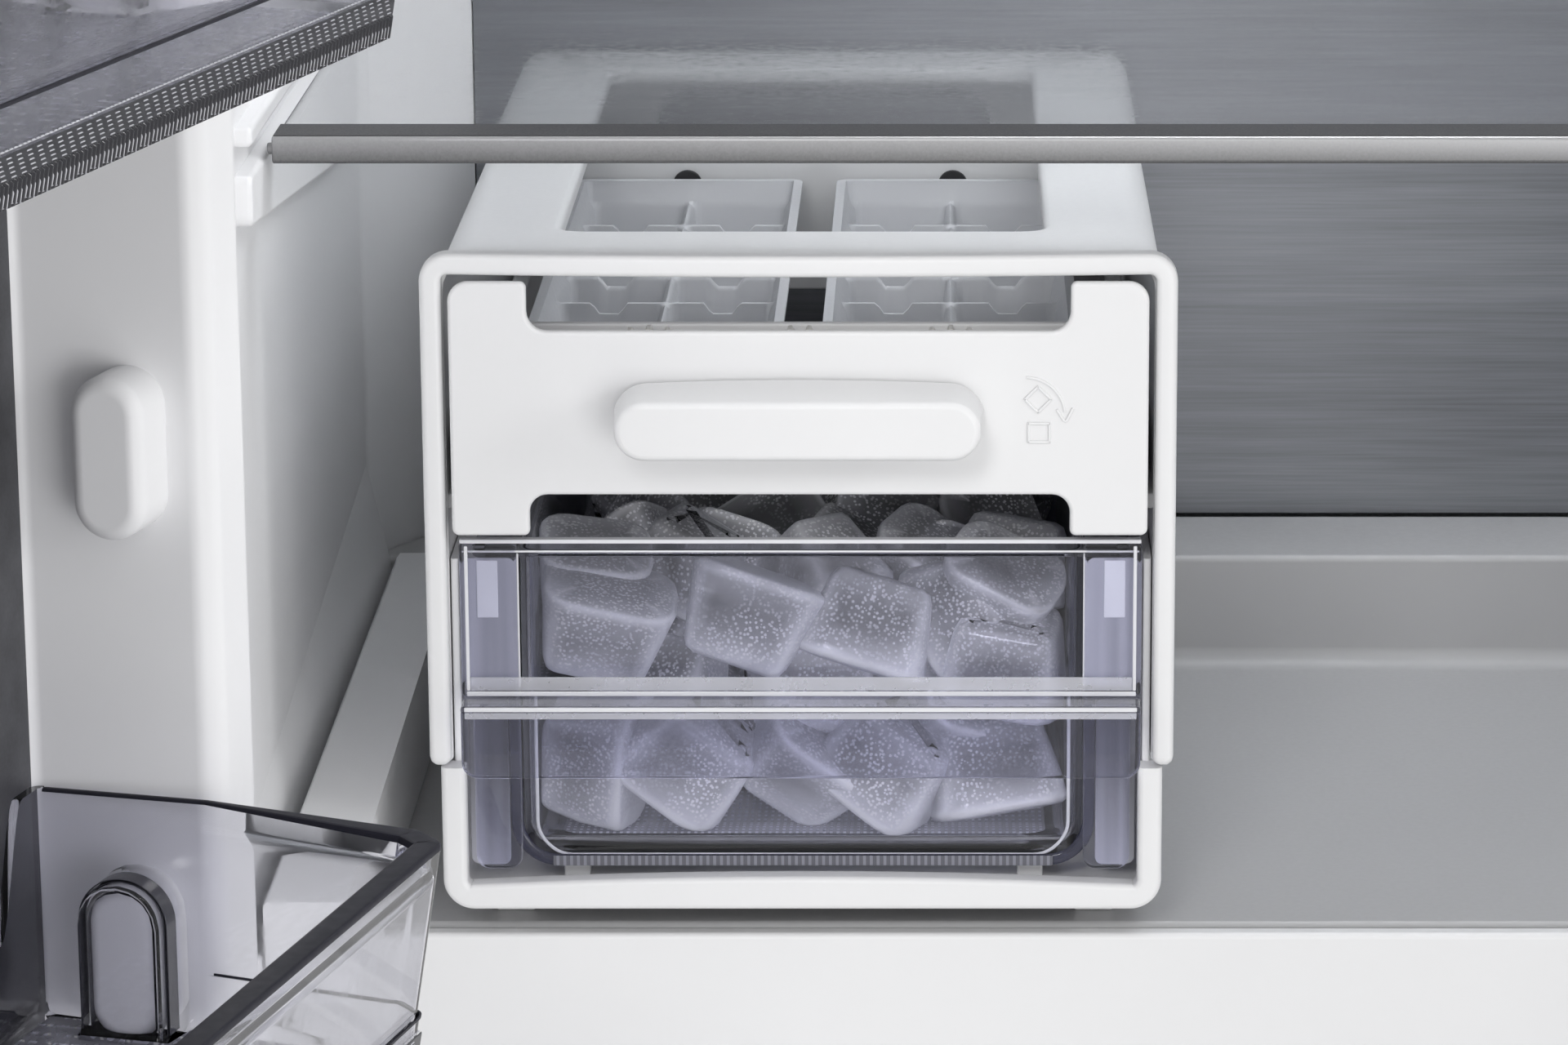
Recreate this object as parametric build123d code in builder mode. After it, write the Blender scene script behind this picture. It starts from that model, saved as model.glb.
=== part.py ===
from build123d import *
import math
import os

os.makedirs("parts", exist_ok=True)

# Upright freezer with its door open, in millimetres. The origin is on the floor under the
# middle of the cabinet, +Z is up, -Y is the front and the door hangs on the left, at -X.

# Cabinet
CABINET_WIDTH = 595
CABINET_FRONT = -310
CABINET_BACK = 310
CABINET_BASE = 28
CABINET_TOP = 1850
SHEET = 1.0
LINER = 2.0

# Freezer room: three tiers, because the machine niche takes the bottom rear corner and the
# evaporator stands in a pocket behind the cooling plate
ROOM_HALF = 240
ROOM_FLOOR = 95
ROOM_TOP = 1795
NICHE_WALL = 52
NICHE_TOP = 330
CHAMFER_START = 131
PLATE_HALF = 204
PLATE_Y = 191
PLATE_BOTTOM = 971.5
POCKET_BACK = 245
POCKET_BOTTOM = 960

# Deck that the ice maker stands on, with a raised ledge at the back and a rail on each side
DECK_TOP = 930
DECK_THICK = 8
DECK_FRONT = -161.8
LEDGE_TOP = 971
LEDGE_FRONT = 130.6
LEDGE_BACK = 187.7
RAIL_INNER = 208
RAIL_OUTER = 232.3
RAIL_TOP = 966
RAIL_FRONT = -250
RAIL_BACK = 130.3
RAIL_FOOT_TOP = 950
DECK_RIB_BOTTOM = 912

# Glass shelves
SHELF_FRONT = -175.4
SHELF_BACK = 184
TRIM_HALF = 232.7
TRIM_DEPTH = 20.4
TRIM_HEIGHT = 8.2
GLASS_THICK = 4
SHELF_BOTTOMS = {"lower": 1171.4, "upper": 1478.0}
BRACKET_HALF = 235
BRACKET_FRONT = -206

# Drawers under the deck
DRAWER_FRONT = -170
DRAWER_PANEL = 6
DRAWER_PANEL_HALF = 237
DRAWER_HALF = 226
DRAWER_WALL = 2.5
DRAWER_LEVELS = {1: (97, 364), 2: (370, 645), 3: (651, 929)}
DRAWER_BACKS = {1: 44, 2: 148, 3: 148}

# Door, in its own axes: x from the hinge along the door, y into the cabinet when shut
HINGE_X = -284.6
HINGE_Y = -345.7
DOOR_OPEN = 105
DOOR_LEFT = -12.9
DOOR_RIGHT = DOOR_LEFT + CABINET_WIDTH
DOOR_FACE = -26
DOOR_FLANGE = 23.7
DOOR_BOTTOM = 62
DOOR_TOP = 1846
CAP_HEIGHT = 14
DOOR_MIDDLE = (DOOR_LEFT + DOOR_RIGHT) / 2
DYKE_OUTER = 54.5
DYKE_ROOT = 86
DYKE_MOUTH = 82.4
DYKE_TIP = 92.5
DYKE_BOTTOM = 108
DYKE_TOP = 1782
PANEL_Y = 41.6
GASKET_THICK = 11.4
BOSS_Z = 1018.7
BOSS_PITCH = 131.5
BOSS_ROWS = range(-6, 6)
BOSS_Y = 71.5
BOSS_FACE = 100
BOSS_WIDE = 19.3
BOSS_TALL = 42
BIN_ROWS = {1: -4, 2: -2, 3: 0, 4: 2, 5: 4}
BIN_BELOW_BOSS = 22.2
BIN_ABOVE_BOSS = 41.7
BIN_REAR = 42.9
BIN_END = 87.5
BIN_WALL = 2.4

# Hinges, feet and rollers
PIN_RADIUS = 5
RUNNING_GAP = 0.05
FOOT_X = 262
FOOT_Y = -268
STUD_RADIUS = 5
STUD_TOP = 51.8
SOCKET_TOP = 52
ROLLER_X = 255
ROLLER_Y = 262
ROLLER_RADIUS = 12
ROLLER_PIN = 4

# Twist ice maker
ICE_X = -76.7
CASE_TOP = 1144.2
CASE_BACK = 187
CASE_FRONT = -175.4
CASE_WALL = 2.5
COVER_HALF = 109.4
RIM_HALF = 113.5
RIM_THICK = 6.5
LEG_BOTTOM = 984.4
CRADLE_BOTTOM = 938.5
CRADLE_HALF = 110.2
CRADLE_FRAME = 7.5
AXIS_Z = 1095
TRAY_SPACING = 45.5
TRAY_HALF = 39.5
TRAY_TOP = 1112
TRAY_BOTTOM = 1076
TRAY_FRONT = -151
TRAY_BACK = 112
TRAY_ROWS = 6
JOURNAL_RADIUS = 5
STEM_RADIUS = 7
GEAR_TEETH = 26
GEAR_BACKLASH = 0.3
BIN_HALF = 100.5
ICE_PANEL_HALF = 103
ICE_BIN_BOTTOM = 949.5
ICE_BIN_TOP = 1055.2

DOOR = Plane(
    origin=(HINGE_X, HINGE_Y, 0),
    x_dir=(math.cos(math.radians(DOOR_OPEN)), -math.sin(math.radians(DOOR_OPEN)), 0),
    z_dir=(0, 0, 1),
)


def block(low, high, mode=Mode.ADD):
    """Add or cut a box given by its lowest and highest corners."""
    with Locations(low):
        Box(*[b - a for a, b in zip(low, high)], align=(Align.MIN,) * 3, mode=mode)


def front_plane(y):
    """Upright plane at depth y, drawn in x and z, that faces the front."""
    return Plane.XZ.offset(-y)


def door_plane(plane):
    """Carry a plane of the door's own axes to where the open door stands."""
    return Plane(DOOR.location * plane.location)


def room_outline(back, half=ROOM_HALF):
    """Corners of the room in plan, with bevelled rear corners where it runs back that far."""
    if back <= CHAMFER_START:
        return [(-half, CABINET_FRONT), (half, CABINET_FRONT), (half, back), (-half, back)]
    right = [(half, CABINET_FRONT), (half, CHAMFER_START), (PLATE_HALF, PLATE_Y)]
    if back > PLATE_Y:
        right.append((PLATE_HALF, back))
    return right + [(-x, y) for x, y in reversed(right)]


def gear_outline(teeth, pitch_radius, half_pitch_turned):
    """Corners of an involute spur gear with 20 degree pressure angle and slightly thin teeth."""
    module = 2 * pitch_radius / teeth
    base = pitch_radius * math.cos(math.radians(20))
    root = pitch_radius - 1.25 * module
    tip = pitch_radius + 0.95 * module
    half_tooth = math.pi / (2 * teeth) - GEAR_BACKLASH / (2 * pitch_radius)

    def involute(radius):
        angle = math.acos(min(1, base / radius))
        return math.tan(angle) - angle

    flank = [root, base] + [base + (tip - base) * step / 4 for step in range(1, 5)]
    corners = []
    for tooth in range(teeth):
        middle = 2 * math.pi * (tooth + 0.5 * half_pitch_turned) / teeth
        widths = [half_tooth + involute(pitch_radius) - involute(radius) for radius in flank]
        rise = [(r, middle - w) for r, w in zip(flank, widths)]
        fall = [(r, middle + w) for r, w in zip(reversed(flank), reversed(widths))]
        corners += [(r * math.cos(a), r * math.sin(a)) for r, a in rise + fall]
    return corners


# The outer case is one bent sheet: two sides and the top, with a narrow front return.
with BuildPart() as cabinet_shell:
    half = CABINET_WIDTH / 2
    block((-half, CABINET_FRONT, CABINET_BASE), (half, CABINET_BACK, CABINET_TOP))
    block(
        (-half + SHEET, CABINET_FRONT + SHEET, CABINET_BASE),
        (half - SHEET, CABINET_BACK, CABINET_TOP - SHEET),
        Mode.SUBTRACT,
    )
    block(
        (-ROOM_HALF - 12, CABINET_FRONT, CABINET_BASE),
        (ROOM_HALF + 12, CABINET_FRONT + SHEET, ROOM_TOP + 12),
        Mode.SUBTRACT,
    )
cabinet_shell.part.label = "cabinet_shell"
export_step(cabinet_shell.part, "parts/cabinet_shell.step")

with BuildPart() as rear_panel:
    half = CABINET_WIDTH / 2 - SHEET - 0.3
    block((-half, CABINET_BACK - 2, 302), (half, CABINET_BACK - 1, CABINET_TOP - SHEET - 0.3))
    with BuildSketch(front_plane(CABINET_BACK - 1)):
        with Locations((0, 1650), (0, 1100), (0, 550)):
            SlotOverall(420, 26)
    extrude(amount=-1)
rear_panel.part.label = "rear_panel"
export_step(rear_panel.part, "parts/rear_panel.step")

# Bottom tray of bent sheet, which also lines the machine niche behind it.
with BuildPart() as machine_base:
    half = CABINET_WIDTH / 2 - SHEET - 0.3
    block((-half, CABINET_FRONT + 2, CABINET_BASE), (half, CABINET_BACK - 4, CABINET_BASE + 2))
    block((-half, NICHE_WALL + 3, CABINET_BASE), (half, NICHE_WALL + 5, 300))
    block((-half, NICHE_WALL + 3, 298), (half, CABINET_BACK - 4, 300))
    with Locations((FOOT_X, FOOT_Y, CABINET_BASE), (-FOOT_X, FOOT_Y, CABINET_BASE)):
        Cylinder(12, SOCKET_TOP - CABINET_BASE, align=(Align.CENTER, Align.CENTER, Align.MIN))
        Hole(STUD_RADIUS + RUNNING_GAP)
    for side in (-1, 1):
        for edge in (-14, 11):
            cheek = (side * ROLLER_X + edge, ROLLER_Y - 12, 5)
            block(cheek, (cheek[0] + 3, ROLLER_Y + 12, CABINET_BASE))
        with Locations(Location((side * ROLLER_X, ROLLER_Y, ROLLER_RADIUS), (0, 90, 0))):
            Cylinder(ROLLER_PIN, 28)
machine_base.part.label = "machine_base"
export_step(machine_base.part, "parts/machine_base.step")

# Inner liner: three stacked tiers, hollowed, with the rails and brackets moulded on it.
TIERS = [
    (ROOM_FLOOR, NICHE_TOP, NICHE_WALL),
    (NICHE_TOP, POCKET_BOTTOM, PLATE_Y),
    (POCKET_BOTTOM, ROOM_TOP, POCKET_BACK),
]
with BuildPart() as inner_liner:
    for low, high, back in TIERS:
        with BuildSketch(Plane.XY.offset(low - LINER)):
            with BuildLine():
                Polyline(*room_outline(back), close=True)
            make_face()
            offset(amount=LINER, kind=Kind.INTERSECTION)
        extrude(amount=high - low + 2 * LINER)
    for low, high, back in TIERS:
        with BuildSketch(Plane.XY.offset(low)):
            with BuildLine():
                Polyline(*room_outline(back), close=True)
            make_face()
        extrude(amount=high - low, mode=Mode.SUBTRACT)
    block((-300, -330, 80), (300, CABINET_FRONT + SHEET, 1810), Mode.SUBTRACT)
    block(
        (-ROOM_HALF, CABINET_FRONT + SHEET, ROOM_FLOOR),
        (ROOM_HALF, CABINET_FRONT + 20, ROOM_TOP),
        Mode.SUBTRACT,
    )
    for side in (-1, 1):
        wall = sorted((side * (ROOM_HALF + 1), side * RAIL_OUTER))
        ridge = sorted((side * RAIL_OUTER, side * RAIL_INNER))
        block((wall[0], RAIL_FRONT, DECK_TOP + 1), (wall[1], RAIL_BACK, RAIL_FOOT_TOP))
        block((ridge[0], RAIL_FRONT, DECK_TOP + 1), (ridge[1], RAIL_BACK, RAIL_TOP))
        rib = sorted((side * (ROOM_HALF + 1), side * 230))
        block(
            (rib[0], DECK_FRONT + 2, DECK_RIB_BOTTOM),
            (rib[1], CHAMFER_START, DECK_TOP - DECK_THICK - 0.2),
        )
        for level, (bottom, top) in DRAWER_LEVELS.items():
            runner = sorted((side * (ROOM_HALF + 1), side * 222))
            low = ROOM_FLOOR - 1 if level == 1 else bottom - 4
            runner_back = min(DRAWER_BACKS[level] - 10, CHAMFER_START)
            block((runner[0], -158, low), (runner[1], runner_back, bottom + 3.2))
        for shelf_bottom in SHELF_BOTTOMS.values():
            rest = shelf_bottom + 1.9
            with BuildSketch(Plane.YZ.offset(side * (ROOM_HALF + 1))):
                with BuildLine():
                    Polyline(
                        (BRACKET_FRONT, rest), (BRACKET_FRONT, rest - 15), (12, rest - 38),
                        (126, rest - 46), (126, rest), close=True,
                    )
                make_face()
            extrude(amount=-side * (ROOM_HALF + 1 - BRACKET_HALF))
            lip = sorted((side * (ROOM_HALF + 1), side * BRACKET_HALF))
            block((lip[0], -150, rest + 8), (lip[1], 120, rest + 14))
inner_liner.part.label = "inner_liner"
export_step(inner_liner.part, "parts/inner_liner.step")

# Foam fills what is left between the case, the liner, the base tray and the rear panel.
with BuildPart() as cabinet_foam:
    half = CABINET_WIDTH / 2 - SHEET
    block(
        (-half, CABINET_FRONT + SHEET, CABINET_BASE + 2),
        (half, CABINET_BACK - 2, CABINET_TOP - SHEET),
    )
    block((-half, NICHE_WALL + 3, CABINET_BASE), (half, CABINET_BACK, 300), Mode.SUBTRACT)
    for low, high, back in TIERS:
        with BuildSketch(Plane.XY.offset(low - LINER)):
            with BuildLine():
                Polyline(*room_outline(back), close=True)
            make_face()
            offset(amount=LINER, kind=Kind.INTERSECTION)
        extrude(amount=high - low + 2 * LINER, mode=Mode.SUBTRACT)
    for side in (-1, 1):
        block(
            (side * FOOT_X - 13, FOOT_Y - 13, CABINET_BASE),
            (side * FOOT_X + 13, FOOT_Y + 13, SOCKET_TOP + 1),
            Mode.SUBTRACT,
        )
cabinet_foam.part.label = "cabinet_foam"
export_step(cabinet_foam.part, "parts/cabinet_foam.step")

# Deck: a flat floor with a riser and a ledge along its back edge.
with BuildPart() as deck_shelf:
    side_edge = ROOM_HALF - 0.5
    block((-side_edge, DECK_FRONT, DECK_TOP - DECK_THICK), (side_edge, LEDGE_FRONT, DECK_TOP))
    with BuildSketch(Plane.XY.offset(DECK_TOP - DECK_THICK)):
        with BuildLine():
            Polyline(
                (-side_edge, LEDGE_FRONT - 6), (side_edge, LEDGE_FRONT - 6),
                (side_edge, CHAMFER_START - 0.5), (PLATE_HALF + 1.5, LEDGE_BACK),
                (-PLATE_HALF - 1.5, LEDGE_BACK), (-side_edge, CHAMFER_START - 0.5), close=True,
            )
        make_face()
    extrude(amount=LEDGE_TOP - DECK_TOP + DECK_THICK)
    block(
        (-ROOM_HALF, LEDGE_FRONT - 7, DECK_TOP),
        (ROOM_HALF, LEDGE_FRONT, LEDGE_TOP + 1),
        Mode.SUBTRACT,
    )
    block(
        (-PLATE_HALF + 8, LEDGE_FRONT + 6, DECK_TOP - DECK_THICK - 1),
        (PLATE_HALF - 8, LEDGE_BACK - 4, LEDGE_TOP - 4),
        Mode.SUBTRACT,
    )
    lip_edge = deck_shelf.edges().filter_by(Axis.X).group_by(Axis.Z)[-1].sort_by(Axis.Y)[0]
    chamfer(lip_edge, 2)
deck_shelf.part.label = "deck_shelf"
export_step(deck_shelf.part, "parts/deck_shelf.step")

# Cooling plate on the back wall, and the moulded duct board, coil, heater and fan behind it.
with BuildPart() as cooling_plate:
    block((-PLATE_HALF + 0.4, PLATE_Y, PLATE_BOTTOM), (PLATE_HALF - 0.4, PLATE_Y + 1, ROOM_TOP - 5))
cooling_plate.part.label = "cooling_plate"
export_step(cooling_plate.part, "parts/cooling_plate.step")

FAN_Z = 1560
with BuildPart() as duct_board:
    block((-198, PLATE_Y + 1.2, 980), (198, PLATE_Y + 9, ROOM_TOP - 8))
    with BuildSketch(front_plane(PLATE_Y + 1)):
        with Locations((0, FAN_Z)):
            Circle(58)
    extrude(amount=-12, mode=Mode.SUBTRACT)
    with BuildSketch(front_plane(PLATE_Y + 1)):
        with GridLocations(120, 0, 3, 1):
            with Locations((0, 1000)):
                SlotOverall(90, 16)
    extrude(amount=-12, mode=Mode.SUBTRACT)
duct_board.part.label = "duct_board"
export_step(duct_board.part, "parts/duct_board.step")

with BuildPart() as evaporator:
    for row in range(6):
        for column in (211, 231):
            with Locations(Location((0, column, 1080 + 45 * row), (0, 90, 0))):
                Cylinder(4, 350)
        block((-175, 207, 1078 + 45 * row), (-171, 235, 1082 + 45 * row))
        block((171, 207, 1078 + 45 * row), (175, 235, 1082 + 45 * row))
    for fin in range(23):
        fin_x = -165 + 15 * fin
        block((fin_x - 0.4, 203, 1066), (fin_x + 0.4, 239, 1320))
evaporator.part.label = "evaporator"
export_step(evaporator.part, "parts/evaporator.step")

with BuildPart() as defrost_heater:
    with Locations(Location((0, 221, 1040), (0, 90, 0))):
        Cylinder(5, 340)
        Cylinder(8, 8)
    for side in (-1, 1):
        with Locations(Location((side * 166, 221, 1040), (0, 90, 0))):
            Cylinder(8, 12)
        block((side * 166 - 2, 219, 1040), (side * 166 + 2, 223, 1065.9))
defrost_heater.part.label = "defrost_heater"
export_step(defrost_heater.part, "parts/defrost_heater.step")


def fan_rotor(axis_point, hub_radius, blade_length, depth):
    """Add a hub with five pitched blades and a bore for its shaft, turning about the depth axis."""
    with Locations(Location(axis_point, (90, 0, 0))):
        Cylinder(hub_radius, depth)
        with PolarLocations(hub_radius + blade_length / 2 - 1, 5):
            Box(blade_length + 2, 1.4, depth * 0.9, rotation=(38, 0, 0))
        Cylinder(3 + RUNNING_GAP, depth + 2, mode=Mode.SUBTRACT)


with BuildPart() as fan_housing:
    block((-70, 201, FAN_Z - 70), (70, 238, FAN_Z + 70))
    with BuildSketch(front_plane(200)):
        with Locations((0, FAN_Z)):
            Circle(56)
    extrude(amount=-34, mode=Mode.SUBTRACT)
    with Locations(Location((0, 229, FAN_Z), (90, 0, 0))):
        Cylinder(17, 12)
    with Locations(Location((0, 214, FAN_Z), (90, 0, 0))):
        Cylinder(3, 22)
fan_housing.part.label = "fan_housing"
export_step(fan_housing.part, "parts/fan_housing.step")

with BuildPart() as evaporator_fan:
    fan_rotor((0, 213, FAN_Z), 14, 38, 16)
evaporator_fan.part.label = "evaporator_fan"
export_step(evaporator_fan.part, "parts/evaporator_fan.step")

# Machine niche: compressor, finned condenser with its own fan, control box and mains inlet.
with BuildPart() as compressor:
    with Locations((150, 180, 44)):
        Cylinder(76, 120, align=(Align.CENTER, Align.CENTER, Align.MIN))
    with Locations((150, 180, 164)):
        Cylinder(72, 28, align=(Align.CENTER, Align.CENTER, Align.MIN))
    fillet(compressor.edges().filter_by(GeomType.CIRCLE).group_by(Axis.Z)[-1], 24)
    block((75, 105, CABINET_BASE + 2), (225, 255, 44))
    with Locations((150, 180, CABINET_BASE + 2)):
        with GridLocations(170, 120, 2, 2):
            Cylinder(11, 8, align=(Align.CENTER, Align.CENTER, Align.MIN))
    block((60, 115, 38), (240, 125, 42))
    block((60, 235, 38), (240, 245, 42))
    block((70, 150, 90), (82, 210, 140))
compressor.part.label = "compressor"
export_step(compressor.part, "parts/compressor.step")

CONDENSER_X = -165
with BuildPart() as condenser:
    for row in range(4):
        for column in (88, 112, 136):
            with Locations(Location((CONDENSER_X, column, 62 + 40 * row), (0, 90, 0))):
                Cylinder(3.5, 190)
    for fin in range(16):
        fin_x = CONDENSER_X - 90 + 12 * fin
        block((fin_x - 0.4, 78, 44), (fin_x + 0.4, 146, 204))
condenser.part.label = "condenser"
export_step(condenser.part, "parts/condenser.step")

# Bent sheet round the condenser, with a ring for its fan and the motor on a strut behind.
with BuildPart() as condenser_shroud:
    for side in (-1, 1):
        cheek_x = sorted((CONDENSER_X + side * 97, CONDENSER_X + side * 95))
        block((cheek_x[0], 76, CABINET_BASE + 2), (cheek_x[1], 200, 206))
    block((CONDENSER_X - 97, 152, CABINET_BASE + 2), (CONDENSER_X + 97, 154, 206))
    with BuildSketch(front_plane(150)):
        with Locations((CONDENSER_X, 124)):
            Circle(66)
    extrude(amount=-8, mode=Mode.SUBTRACT)
    with Locations(Location((CONDENSER_X, 190, 124), (90, 0, 0))):
        Cylinder(20, 22)
    block((CONDENSER_X - 96, 192, 118), (CONDENSER_X + 96, 196, 130))
    with Locations(Location((CONDENSER_X, 170, 124), (90, 0, 0))):
        Cylinder(3, 22)
condenser_shroud.part.label = "condenser_shroud"
export_step(condenser_shroud.part, "parts/condenser_shroud.step")

with BuildPart() as condenser_fan:
    fan_rotor((CONDENSER_X, 168, 124), 16, 44, 18)
condenser_fan.part.label = "condenser_fan"
export_step(condenser_fan.part, "parts/condenser_fan.step")

with BuildPart() as control_box:
    block((-20, 70, CABINET_BASE + 2), (46, 180, 110))
    fillet(control_box.edges().filter_by(Axis.Z), 4)
    with BuildSketch(Plane.XY.offset(110)):
        with Locations((13, 125)):
            with GridLocations(0, 14, 1, 6):
                SlotOverall(44, 5)
    extrude(amount=-2, mode=Mode.SUBTRACT)
control_box.part.label = "control_box"
export_step(control_box.part, "parts/control_box.step")

# Three-pin mains inlet, set in the niche roof's rear edge. No lead is fitted in it.
with BuildPart() as mains_inlet:
    block((232, 262, 236), (280, CABINET_BACK - 4.2, 297.8))
    block((238, 286, 246), (274, CABINET_BACK, 276), Mode.SUBTRACT)
    with Locations((246, 296, 258), (266, 296, 258), (256, 296, 266)):
        Box(2, 20, 4)
mains_inlet.part.label = "mains_inlet"
export_step(mains_inlet.part, "parts/mains_inlet.step")

with BuildPart() as kick_grille:
    block((-288, -302, 6), (288, -297, CABINET_BASE))
    block((-280, -297, 6), (280, -292, CABINET_BASE))
    with BuildSketch(front_plane(-303)):
        with Locations((0, 17)):
            with GridLocations(36, 0, 13, 1):
                SlotOverall(28, 7)
    extrude(amount=-14, mode=Mode.SUBTRACT)
kick_grille.part.label = "kick_grille"
export_step(kick_grille.part, "parts/kick_grille.step")

# Levelling feet screw into the base tray; rollers turn on the pins between its cheeks.
for name, side in (("left", -1), ("right", 1)):
    with BuildPart() as levelling_foot:
        with Locations((side * FOOT_X, FOOT_Y, 0)):
            Cylinder(19, 7, align=(Align.CENTER, Align.CENTER, Align.MIN))
            Cylinder(STUD_RADIUS, STUD_TOP, align=(Align.CENTER, Align.CENTER, Align.MIN))
        with BuildSketch(Plane.XY.offset(7)):
            with Locations((side * FOOT_X, FOOT_Y)):
                RegularPolygon(11, 6)
        extrude(amount=8)
    levelling_foot.part.label = f"levelling_foot_{name}"
    export_step(levelling_foot.part, f"parts/levelling_foot_{name}.step")

    with BuildPart() as rear_roller:
        with Locations(Location((side * ROLLER_X, ROLLER_Y, ROLLER_RADIUS), (0, 90, 0))):
            Cylinder(ROLLER_RADIUS, 20)
            Cylinder(ROLLER_PIN + RUNNING_GAP, 22, mode=Mode.SUBTRACT)
    rear_roller.part.label = f"rear_roller_{name}"
    export_step(rear_roller.part, f"parts/rear_roller_{name}.step")

# Hinges: bent plates on the cabinet, each with a pin in a bore of the door's end cap.
with BuildPart() as lower_hinge:
    block((HINGE_X - 11, HINGE_Y - 11, 56), (HINGE_X + 60, CABINET_FRONT - 2, 60))
    block((HINGE_X - 11, CABINET_FRONT - 3, 34), (HINGE_X + 60, CABINET_FRONT, 60))
    with Locations((HINGE_X, HINGE_Y, 58)):
        Cylinder(PIN_RADIUS, DOOR_BOTTOM + 12 - 58, align=(Align.CENTER, Align.CENTER, Align.MIN))
    with Locations((HINGE_X, HINGE_Y, 60)):
        Cylinder(9, DOOR_BOTTOM - 60.2, align=(Align.CENTER, Align.CENTER, Align.MIN))
lower_hinge.part.label = "lower_hinge"
export_step(lower_hinge.part, "parts/lower_hinge.step")

with BuildPart() as upper_hinge:
    block((HINGE_X - 11, HINGE_Y - 11, CABINET_TOP), (HINGE_X + 12, -240, CABINET_TOP + 4))
    block((HINGE_X - 11, CABINET_FRONT + 5, CABINET_TOP), (HINGE_X + 70, -240, CABINET_TOP + 4))
    with Locations((HINGE_X, HINGE_Y, DOOR_TOP - 12)):
        Cylinder(
            PIN_RADIUS, CABINET_TOP - DOOR_TOP + 14, align=(Align.CENTER, Align.CENTER, Align.MIN)
        )
    with Locations((HINGE_X + 15, -272, CABINET_TOP + 4), (HINGE_X + 55, -272, CABINET_TOP + 4)):
        Cylinder(6, 3, align=(Align.CENTER, Align.CENTER, Align.MIN))
upper_hinge.part.label = "upper_hinge"
export_step(upper_hinge.part, "parts/upper_hinge.step")

# Light set in the room's ceiling near the front.
with BuildPart() as light_lens:
    with BuildSketch(Plane.XY.offset(ROOM_TOP)):
        with Locations((0, -190)):
            RectangleRounded(180, 44, 8)
    extrude(amount=-9, taper=12)
light_lens.part.label = "light_lens"
export_step(light_lens.part, "parts/light_lens.step")

# Shelves: a tempered glass plate with a metal trim clipped on its front edge.
for name, bottom in SHELF_BOTTOMS.items():
    glass_bottom = bottom + 2.1
    with BuildPart() as glass_shelf:
        with BuildSketch(Plane.XY.offset(glass_bottom)):
            with BuildLine():
                Polyline(
                    (-TRIM_HALF, SHELF_FRONT + 4), (TRIM_HALF, SHELF_FRONT + 4), (TRIM_HALF, 128),
                    (PLATE_HALF - 6, SHELF_BACK), (-PLATE_HALF + 6, SHELF_BACK), (-TRIM_HALF, 128),
                    close=True,
                )
            make_face()
        extrude(amount=GLASS_THICK)
    glass_shelf.part.label = f"glass_shelf_{name}"
    export_step(glass_shelf.part, f"parts/glass_shelf_{name}.step")

    with BuildPart() as shelf_trim:
        with BuildSketch(Plane.YZ.offset(-TRIM_HALF)):
            with Locations((SHELF_FRONT + TRIM_DEPTH / 2, bottom + TRIM_HEIGHT / 2)):
                RectangleRounded(TRIM_DEPTH, TRIM_HEIGHT, 1)
            slot = (SHELF_FRONT + 4 + TRIM_DEPTH / 2, glass_bottom + GLASS_THICK / 2)
            with Locations(slot):
                Rectangle(TRIM_DEPTH, GLASS_THICK, mode=Mode.SUBTRACT)
        extrude(amount=2 * TRIM_HALF)
        for side in (-1, 1):
            nub = Location((side * TRIM_HALF, SHELF_FRONT + 2.2, bottom + 4.4), (0, 90, 0))
            with Locations(nub):
                Cylinder(1.6, 3)
    shelf_trim.part.label = f"shelf_trim_{name}"
    export_step(shelf_trim.part, f"parts/shelf_trim_{name}.step")

# Door: a bent front sheet, end caps, foam, the moulded inner liner, plate, gasket and bins.
with BuildPart(DOOR) as door_skin:
    block((DOOR_LEFT, DOOR_FACE, DOOR_BOTTOM), (DOOR_RIGHT, DOOR_FLANGE, DOOR_TOP))
    block(
        (DOOR_LEFT + SHEET, DOOR_FACE + SHEET, DOOR_BOTTOM - 1),
        (DOOR_RIGHT - SHEET, DOOR_FLANGE + 1, DOOR_TOP + 1),
        Mode.SUBTRACT,
    )
door_skin.part.label = "door_skin"
export_step(door_skin.part, "parts/door_skin.step")

for name, low in (("bottom", DOOR_BOTTOM), ("top", DOOR_TOP - CAP_HEIGHT)):
    with BuildPart(DOOR) as door_cap:
        block(
            (DOOR_LEFT + SHEET, DOOR_FACE + SHEET, low),
            (DOOR_RIGHT - SHEET, DOOR_FLANGE - 0.1, low + CAP_HEIGHT),
        )
        with Locations((0, 0, low + CAP_HEIGHT / 2)):
            Cylinder(PIN_RADIUS + RUNNING_GAP, CAP_HEIGHT, mode=Mode.SUBTRACT)
    door_cap.part.label = f"door_cap_{name}"
    export_step(door_cap.part, f"parts/door_cap_{name}.step")

LINER_BOTTOM = DOOR_BOTTOM + CAP_HEIGHT
LINER_TOP = DOOR_TOP - CAP_HEIGHT
INWARD = Axis(DOOR.origin, DOOR.y_dir)


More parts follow.
